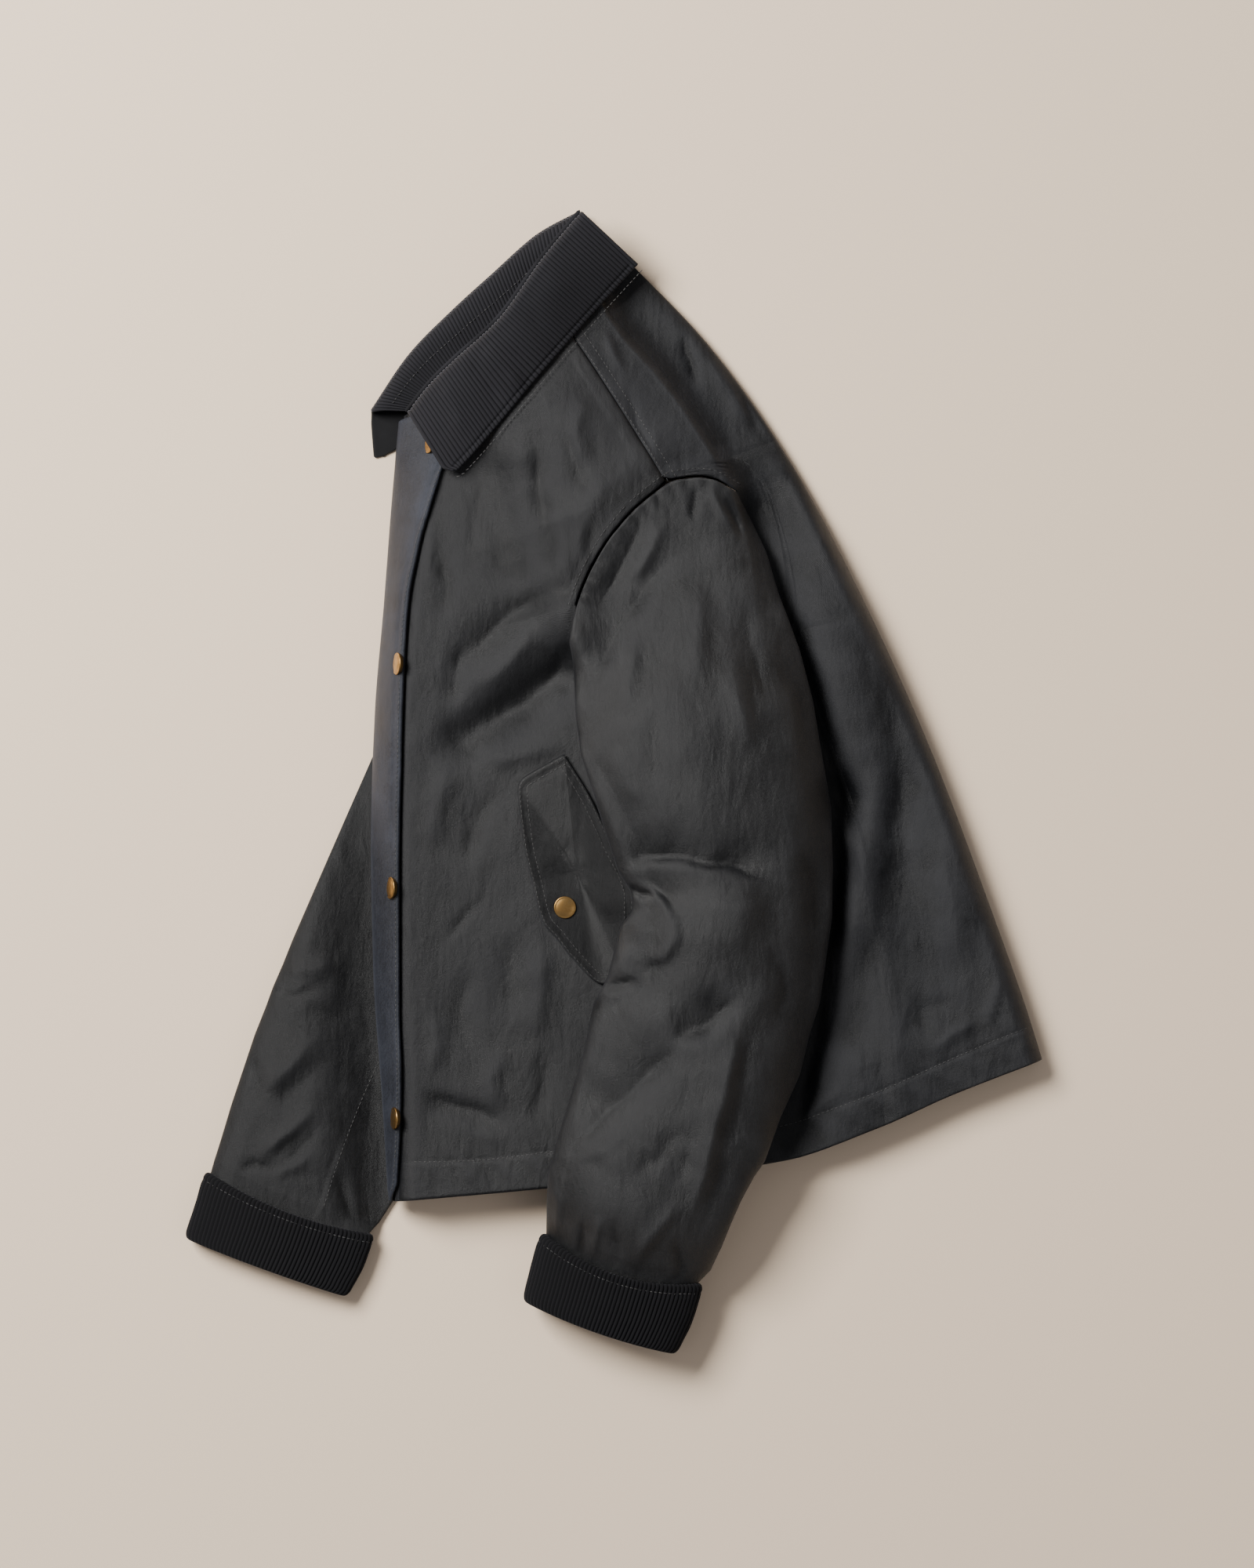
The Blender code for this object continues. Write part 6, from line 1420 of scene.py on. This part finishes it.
# a corduroy wall: shares across against sections along, ribs running across, edges rounded
# by the way to the nearest edge, a groove beside the edge where it is topstitched
def cordWall(name, point, table, shares, node, facing=1.0, ribs=True, stitched=0.0, bends=(), seed=91,
             finishes=None, innerFinish=0):
    wall = collar["wall"]
    length = alongRoll(table, 3)[1]
    wales = int(round(length / corduroy["wale"]))
    phase = np.arange(wales * 6 + 1) / 6.0 if ribs else np.linspace(0, wales, wales * 2 + 1)
    rowLine, _ = alongRoll(table, 1201)
    rows = np.interp(phase / wales, np.linspace(0, 1, 1201), rowLine)
    share, row = np.meshgrid(shares, rows, indexing="ij")
    base = point(row, share)
    if bends:
        base[..., 2] += creaseHeight(base[..., 0], base[..., 1], bends) * ease(share * 4)
    base[..., 2] += 0.5 * uneven(base[..., 0], base[..., 1], 19.0, seed) * ease(share * 4)
    normal = gridNormals(base)
    normal = normal * np.sign(normal[len(shares) // 2, len(rows) // 2, 2]) * facing
    normal[0, :, 2] = 0.0            # level at the roll, where two walls meet
    normal[0] /= np.linalg.norm(normal[0], axis=-1, keepdims=True)
    down = wayTo(base)
    fromEdge = down[-1:] - down
    fromEnds = np.minimum(phase, wales - phase)[None, :] * corduroy["wale"] * np.ones_like(down)
    near = np.minimum(fromEdge, fromEnds)
    rounded = 1 - roundOff(near / 1.4)
    crest = waleHeight(phase)[None, :] * np.ones_like(down) if ribs else np.full(down.shape, 0.5)
    groove = stitched * bell(near - collar["stitched"], 0.9)
    ribbing = corduroy["depth"] * (1 - crest) * (1 - 0.5 * rounded) if ribs else 0
    dent = ribbing + groove + rounded * wall * 0.45
    outer = base - normal * dent[..., None]
    inner = base - normal * (wall - rounded * wall * 0.4)[..., None]
    outer[..., 2] = np.maximum(outer[..., 2], 0.1)
    inner[..., 2] = np.maximum(inner[..., 2], 0.1)
    # its crest attribute is lowered along the topstitching's groove, as painted shade in it
    obj = wallPiece(name, outer, inner, finishes or [ribbed, felted],
                    crest=crest * (1 - 0.5 * groove), innerFinish=innerFinish)
    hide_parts(node)
    return obj


fallShares = stepsOf((0, 0.12, 9), (0.12, 0.86, 20), (0.86, 1, 14))
pieces["fallLeft"] = cordWall(
    "left_collar_fall", fallPoint, collar["left"], fallShares, "collar_fall_left",
    stitched=0.6, bends=collar["bends"], innerFinish=1)
pieces["standLeft"] = cordWall(
    "left_collar_stand", standPoint, collar["left"], np.linspace(0, 1, 12), "collar_stand_left",
    ribs=False, seed=93)
bandShares = stepsOf((0, 0.3, 12), (0.3, 1, 16))
pieces["bandRight"] = cordWall(
    "right_collar_band", rightBandPoint, collar["right"], bandShares, "collar_band_right", seed=95)
leafShares = stepsOf((0, 0.2, 8), (0.2, 0.9, 16), (0.9, 1, 8))
pieces["leafRight"] = cordWall(
    "right_collar_leaf", rightLeafPoint, collar["right"], leafShares, "collar_leaf_right",
    facing=-1.0, ribs=False, seed=97, finishes=[felted])
print("jacket: collar")


# pocket flap: fans from its outline inwards, laid on the front; raised and rounded at its
# edge, sunk along two rows of stitching, with shallow ripples between
def makePocketFlap():
    ring = np.array(evenPath(pocketFlap["outline"] + pocketFlap["outline"][:1], 2.2)[:-1])
    centre = ring.mean(axis=0)
    shares = np.concatenate([[1.0, 0.992, 0.982, 0.968], np.linspace(0.95, 0.06, 26)])
    spread = centre + (ring[None] - centre) * shares[:, None, None]
    x, y = spread[..., 0], spread[..., 1]
    far = np.hypot(*(ring - centre).T)[None, :] * (1 - shares[:, None])
    low = bodyTopAt(x, y, mapPlain) + bodyRelief(x, y) * 0.5
    low = np.maximum(low, bodyTopAt(x, y)) + pocketFlap["clear"]
    low = low + 0.5 * np.abs(uneven(x, y, 21.0, 101))
    edge = roundOff(far / 1.4)
    bead = 0.35 * bell(far - 2.0, 1.6)
    groove = 0.45 * bell(far - pocketFlap["stitched"][0], 0.8)
    high = low + pocketFlap["thick"] * (0.3 + 0.7 * edge) + bead - groove + 0.3 * uneven(x, y, 12.0, 102)
    outer = np.stack([x, y, high], axis=-1)
    inner = np.stack([x, y, low], axis=-1)
    outer, inner = (np.concatenate([face, np.repeat(face[-1:].mean(axis=1)[:, None], len(ring), axis=1)])
                    for face in (outer, inner))
    obj = wallPiece("pocket_flap_front", outer, inner, [pocketCotton], closedRound=True,
                    crest=crestMap(outer[..., 2], 2, 1.2))
    return obj, ring


# joins points that fall together and turns every face outwards
def faceOut(obj):
    mesh = bmesh.new()
    mesh.from_mesh(obj.data)
    bmesh.ops.remove_doubles(mesh, verts=mesh.verts, dist=0.00001)
    bmesh.ops.dissolve_degenerate(mesh, edges=mesh.edges, dist=0.000005)
    bmesh.ops.recalc_face_normals(mesh, faces=mesh.faces)
    mesh.to_mesh(obj.data)
    mesh.free()


pieces["pocket"], pocketRing = makePocketFlap()
pocketTop = surfaces["pocket_flap_front"][:-1]
faceOut(pieces["pocket"])
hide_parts("pocket_flap_left")
print("jacket: pocket flap")


snaps = {
    "turns": 56,
    # radius and height of the cap's profile, from under its rim to its middle
    "profile": (
        (6.2, -1.9), (6.9, -1.2), (7.2, 0), (7.45, 0.25), (7.5, 0.7), (7.4, 1.05), (7.1, 1.25), (6.75, 1.28),
        (6.5, 1.22), (6.2, 1.26), (5.5, 1.45), (4.5, 1.65), (3.3, 1.8), (1.8, 1.9), (0.6, 1.92),
    ),
    # name, plan place of the cap's middle
    "onFlap": (("snap_1", -122.8, 230), ("snap_2", -145.2, 79.6), ("snap_3", -149.2, -70.8),
        ("snap_4", -147.2, -226.2)),
    "onPocket": (-32.6, -83.7),
    "reach": 7.5,
    "proud": 0.3,             # foot of the pocket flap's cap above the cloth
    "leaning": 1.15,          # each storm flap cap leans out over the front fold
}


# snap cap: its profile turned about the normal of the cloth it is set in
def makeSnap(node, foot, facing):
    facing = facing / np.linalg.norm(facing)
    first = np.cross(facing, [0.0, 1.0, 0.2])
    first = first / np.linalg.norm(first)
    second = np.cross(facing, first)
    angle = np.arange(snaps["turns"]) * 2 * np.pi / snaps["turns"]
    spoke = np.cos(angle)[:, None] * first + np.sin(angle)[:, None] * second
    profile = np.array(snaps["profile"])
    points = foot + facing * profile[:, 1][:, None, None] + spoke[None] * profile[:, 0][:, None, None]
    count, rings = snaps["turns"], len(profile)
    corner = np.arange(count * rings).reshape(rings, count)
    after = np.roll(corner, -1, axis=1)
    hub = np.full(count, count * rings)
    faces = np.stack([corner[:-1], after[:-1], after[1:], corner[1:]], axis=-1).reshape(-1, 4).tolist()
    faces += np.stack([hub, after[0], corner[0]], axis=-1).tolist()
    faces += np.stack([corner[-1], after[-1], hub + 1], axis=-1).tolist()
    hubs = np.array([foot + facing * profile[0, 1], foot + facing * profile[-1, 1]])
    points = np.concatenate([points.reshape(-1, 3), hubs])
    obj = newPiece("cap_" + node, points, faces, [brassMetal])
    faceOut(obj)
    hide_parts(node)
    return obj


# foot and facing on the storm flap at a plan place: the plane through the cloth within the
# cap's reach, raised to just clear it, its normal leaning out
def onFlap(x, y):
    flat = flapOuter[:, flapShares > 0.1].reshape(-1, 3)
    best = flat[np.argmin(np.hypot(flat[:, 0] - x, flat[:, 1] - y))]
    patch = flat[np.linalg.norm(flat - best, axis=1) < snaps["reach"]]
    axes = np.linalg.svd(patch - patch.mean(axis=0), full_matrices=False)[2]
    facing = axes[2] * np.sign(axes[2][2])
    foot = best + facing * (0.5 * np.max((patch - best) @ facing))
    return foot, facing + snaps["leaning"] * np.array([-1.0, 0.05, 0.0])


for node, x, y in snaps["onFlap"]:
    pieces[node] = makeSnap(node, *onFlap(x, y))
# the pocket flap's cap stands on the plane that lies closest to nine places under it
x, y = snaps["onPocket"]
dx, dy = np.meshgrid((-6.0, 0.0, 6.0), (-6.0, 0.0, 6.0))
heights = bodyTopAt(x + dx, y + dy) + pocketFlap["clear"] + pocketFlap["thick"]
spread = np.c_[dx.ravel(), dy.ravel(), np.ones(9)]
tiltX, tiltY, level = np.linalg.lstsq(spread, heights.ravel(), rcond=None)[0]
pieces["snap_pocket"] = makeSnap(
    "snap_pocket", np.array([x, y, level + snaps["proud"]]), np.array([-tiltX, -tiltY, 1.0]))
print("jacket: snaps")


thread = {
    "pitch": 3.3,             # one stitch to the next
    "long": 2.5,
    "radius": 0.26,
    "proud": 0.10,            # its middle above the cloth
    # end radius and place along the stitch, in radii and half lengths
    "rings": ((0.30, -1.0), (1.0, -0.72), (1.0, 0.72), (0.30, 1.0)),
    "sides": 6,
    # rows: how far from their seams, the hem's ends in x, and the side seam's x at the hem
    "fromArmhole": 4.8,
    "fromShoulder": (1.4, 7.4),
    "fromSleeveSeam": 2.6,
    "hemEnds": (-134.5, 283.0),
    "hemSide": 45.0,
}


# line of points at even steps along a path, moved to its left by an offset
def beside(path, offset):
    points = np.array(path, float)
    far = wayTo(points)
    at = np.arange(0.0, far[-1] - 0.3, thread["pitch"])
    x, y = np.interp(at, far, points[:, 0]), np.interp(at, far, points[:, 1])
    dx, dy = np.gradient(x), np.gradient(y)
    size = np.maximum(np.hypot(dx, dy), 1e-9)
    return np.stack([x - dy / size * offset, y + dx / size * offset], axis=-1)


# places on a grid's upward face nearest to plan points: the height there is the mean of the
# four nearest corners, weighted by 1 over distance, and the normal is that of the nearest
def seated(grid, plan):
    normal = gridNormals(grid).reshape(-1, 3)
    normal = normal * np.sign(normal[:, 2:3] + 1e-9)
    flat = grid.reshape(-1, 3)
    level = np.linalg.norm(flat[None, :, :2] - plan[:, None, :], axis=2)
    best = np.argsort(level, axis=1)[:, :4]
    weight = 1 / (np.take_along_axis(level, best, axis=1) + 0.05)
    height = (flat[best, 2] * weight).sum(axis=1) / weight.sum(axis=1)
    return np.concatenate([plan, height[:, None]], axis=1), normal[best[:, 0]]


# a row of stitches: one short capsule for each place, laid along the row on the cloth and
# turned a little, all joined in one mesh
def sewRow(name, places, normals, seed):
    chance = np.random.default_rng(seed)
    along = np.gradient(places, axis=0)
    along = along - normals * np.sum(along * normals, axis=1, keepdims=True)
    along = along / np.linalg.norm(along, axis=1, keepdims=True)
    across = np.cross(normals, along)
    turn = chance.uniform(-0.10, 0.10, (len(places), 1))
    along, across = along + across * turn, across - along * turn
    length = thread["long"] / 2 * chance.uniform(0.88, 1.06, (len(places), 1, 1, 1))
    radius = thread["radius"]
    angle = np.arange(thread["sides"]) * 2 * np.pi / thread["sides"]
    round_ = (np.cos(angle)[None, None, :, None] * across[:, None, None, :]
              + np.sin(angle)[None, None, :, None] * normals[:, None, None, :])
    rings = np.array(thread["rings"])
    bow = (rings[:, 1] ** 2)[None, :, None, None] * -0.5 * radius
    points = (places[:, None, None, :] + normals[:, None, None, :] * (thread["proud"] + bow)
              + along[:, None, None, :] * rings[None, :, 1, None, None] * length
              + round_ * rings[None, :, 0, None, None] * radius)
    sides, count = thread["sides"], len(rings)
    number = np.arange(count * sides).reshape(count, sides)
    nextOne = np.roll(number, -1, axis=1)
    one = np.stack([number[:-1], nextOne[:-1], nextOne[1:], number[1:]], axis=-1).reshape(-1, 4).tolist()
    one += [number[0][::-1].tolist(), number[-1].tolist()]
    faces = [[v + k * count * sides for v in face] for k in range(len(places)) for face in one]
    return newPiece(name, points.reshape(-1, 3), faces, [waxedThread])


# stitches in plan on a piece's face: visible grid, rows of plan points
def sewOn(key, name, grid, rows):
    for number, plan in enumerate(rows):
        places, normals = seated(grid, plan)
        stitches.setdefault(key, []).append(
            sewRow(name + "_" + str(number + 1), places, normals, 500 + 7 * number))


# stitches on the body's top layer, whose height is worked out at each place
def sewOnBody(key, name, rows):
    for number, plan in enumerate(rows):
        row, s = bodyFind(plan[:, 0], plan[:, 1])
        normals = gridNormals(np.stack([bodyPoint(s + d, row) for d in (-1.0, 0.0, 1.0)]))[1]
        normals = normals * np.sign(normals[:, 2:3])
        places = np.concatenate([plan, topHeight(s, row)[:, None]], axis=1)
        stitches.setdefault(key, []).append(
            sewRow(name + "_" + str(number + 1), places, normals, 600 + 7 * number))


stitches = {}
first, last = thread["hemEnds"]
hemLine = [p for p in evenPath(seams["hem"], 4.0) if first < p[0] < last]
middle = min(range(len(hemLine)), key=lambda i: abs(hemLine[i][0] - thread["hemSide"]))
sewOnBody("frontLeft", "front_hem_stitches", [beside(hemLine[:middle], 0.0)])
sewOnBody("back", "back_hem_stitches", [beside(hemLine[middle:], 0.0)])
sewOnBody("frontLeft", "armhole_front_stitches", [beside(overFront[::-1], thread["fromArmhole"])])
sewOnBody("back", "armhole_back_stitches", [beside(overBack, thread["fromArmhole"])])
sewOnBody("back", "shoulder_stitches", [beside(shoulderLine, way) for way in thread["fromShoulder"]])
flapEdge = flapOuter[4:-4]
flapFar = wayTo(flapEdge[:, ::-1], axis=1)
line = np.array([[np.interp(stormFlap["stitched"], far, points[::-1, axis]) for axis in range(3)]
                 for far, points in zip(flapFar, flapEdge)])
lineFar = wayTo(line)
lineAt = np.arange(2.0, lineFar[-1] - 2.0, thread["pitch"])
linePlaces = np.stack([np.interp(lineAt, lineFar, line[:, axis]) for axis in range(3)], axis=-1)
lineNormals = np.stack([np.interp(lineAt, lineFar, flapNormal[4:-4, -4, axis]) for axis in range(3)], axis=-1)
lineNormals = lineNormals / np.linalg.norm(lineNormals, axis=1, keepdims=True)
stitches["flap"] = [sewRow("storm_flap_stitches", linePlaces, lineNormals, 701)]
print("jacket: body stitches")

ring = np.concatenate([pocketRing, pocketRing[:1]])
inward = 1.0 if np.sum(ring[:-1, 0] * ring[1:, 1] - ring[1:, 0] * ring[:-1, 1]) > 0 else -1.0
pocketRows = [beside(ring, way * inward) for way in pocketFlap["stitched"]]
sewOn("pocket", "pocket_flap_stitches", pocketTop, pocketRows)
for key, name, side in (("cuffLeft", "left_cuff", "left"), ("cuffRight", "right_cuff", "right")):
    table = cuffs[side]
    turns = np.linspace(0.03, 0.97, 160)
    span = math.hypot(table[2][1] - table[0][1], table[2][2] - table[0][2]) / 2
    line = cuffPoint(table, np.full(turns.shape, cuffs["stitched"] / span), turns, 0.75)
    upper = surfaces[name][:, :surfaces[name].shape[1] // 2]
    sewOn(key, name + "_stitches", upper, [beside(line[:, :2], 0.0)])
fallRows = np.linspace(0.06, 4.94, 120)
line = fallPoint(fallRows, np.full(fallRows.shape, 1.0))
fallStitches = beside(line[:, :2], collar["stitched"])
sewOn("fallLeft", "collar_fall_stitches", surfaces["left_collar_fall"], [fallStitches])
collarRows = np.linspace(0.15, 4.85, 120)
line = rightBandPoint(collarRows, np.full(collarRows.shape, 0.30))
sewOn("bandRight", "collar_band_stitches", surfaces["right_collar_band"], [beside(line[:, :2], 0.0)])
over = surfaces["right_sleeve"][:, :surfaces["right_sleeve"].shape[1] * 2 // 3]
sleeveRow = beside(evenPath(rightSleeve["seam"], 4.0), thread["fromSleeveSeam"])
sewOn("sleeveRight", "right_sleeve_stitches", over, [sleeveRow])
print("jacket: stitches")
studio = {
    "floor": (0.93, 0.745, 0.565),
    "floorSize": 9.0,
    "keyFrom": (-1.65, 1.2, 2.0),
    "keySize": 1.3,
    "keyPower": 160.0,
    "fillFrom": (2.6, -1.2, 3.2),
    "fillSize": 2.6,
    "fillPower": 12.0,
    "sky": (0.88, 0.88, 0.92),
    "skyStrength": 0.26,
    "aim": (0.0088, -0.0012),
    "cameraHigh": 5.91,
    "lens": 200.0,
}


# floor: matt and pale, with a slow unevenness of tone
def makeFloor():
    paint = Finish("paleFloor")
    tone = studio["floor"]
    cloud = paint.noise(paint.place, 1.4, 3.0)
    paint.join(paint.ramp(cloud, [(0.3, tuple(c * 0.985 for c in tone)), (0.7, tone)]), "Base Color")
    paint.shine({"Roughness": 0.85, "Specular IOR Level": 0.2})
    half = studio["floorSize"] / 2
    mesh = bpy.data.meshes.new("floor")
    places = [(-half, -half, 0), (half, -half, 0), (half, half, 0), (-half, half, 0)]
    mesh.from_pydata(places, [], [(0, 1, 2, 3)])
    mesh.materials.append(paint.made)
    floor = bpy.data.objects.new("floor", mesh)
    bpy.context.scene.collection.objects.link(floor)
    return floor


# square light at a place, turned so that it shines on the origin
def makeLight(name, place, size, power, colour):
    data = bpy.data.lights.new(name, "AREA")
    data.shape, data.size, data.energy, data.color = "SQUARE", size, power, colour
    light = bpy.data.objects.new(name, data)
    light.location = place
    x, y, z = place
    light.rotation_euler = (math.atan2(math.hypot(x, y), z), 0.0, math.atan2(x, -y))
    bpy.context.scene.collection.objects.link(light)
    return light


floor = makeFloor()
makeLight("keyLight", studio["keyFrom"], studio["keySize"], studio["keyPower"], (1.0, 0.985, 0.96))
makeLight("fillLight", studio["fillFrom"], studio["fillSize"], studio["fillPower"], (1.0, 0.97, 0.93))
world = bpy.data.worlds.new("studioSky")
world.use_nodes = True
sky = world.node_tree.nodes["Background"]
sky.inputs["Color"].default_value = (*studio["sky"], 1)
sky.inputs["Strength"].default_value = studio["skyStrength"]
bpy.context.scene.world = world

lens = bpy.data.cameras.new("mainCamera")
lens.lens = studio["lens"]
lens.sensor_width = 36.0
camera = bpy.data.objects.new("mainCamera", lens)
camera.location = (*studio["aim"], studio["cameraHigh"])
bpy.context.scene.collection.objects.link(camera)
bpy.context.scene.camera = camera
print("jacket: studio set")
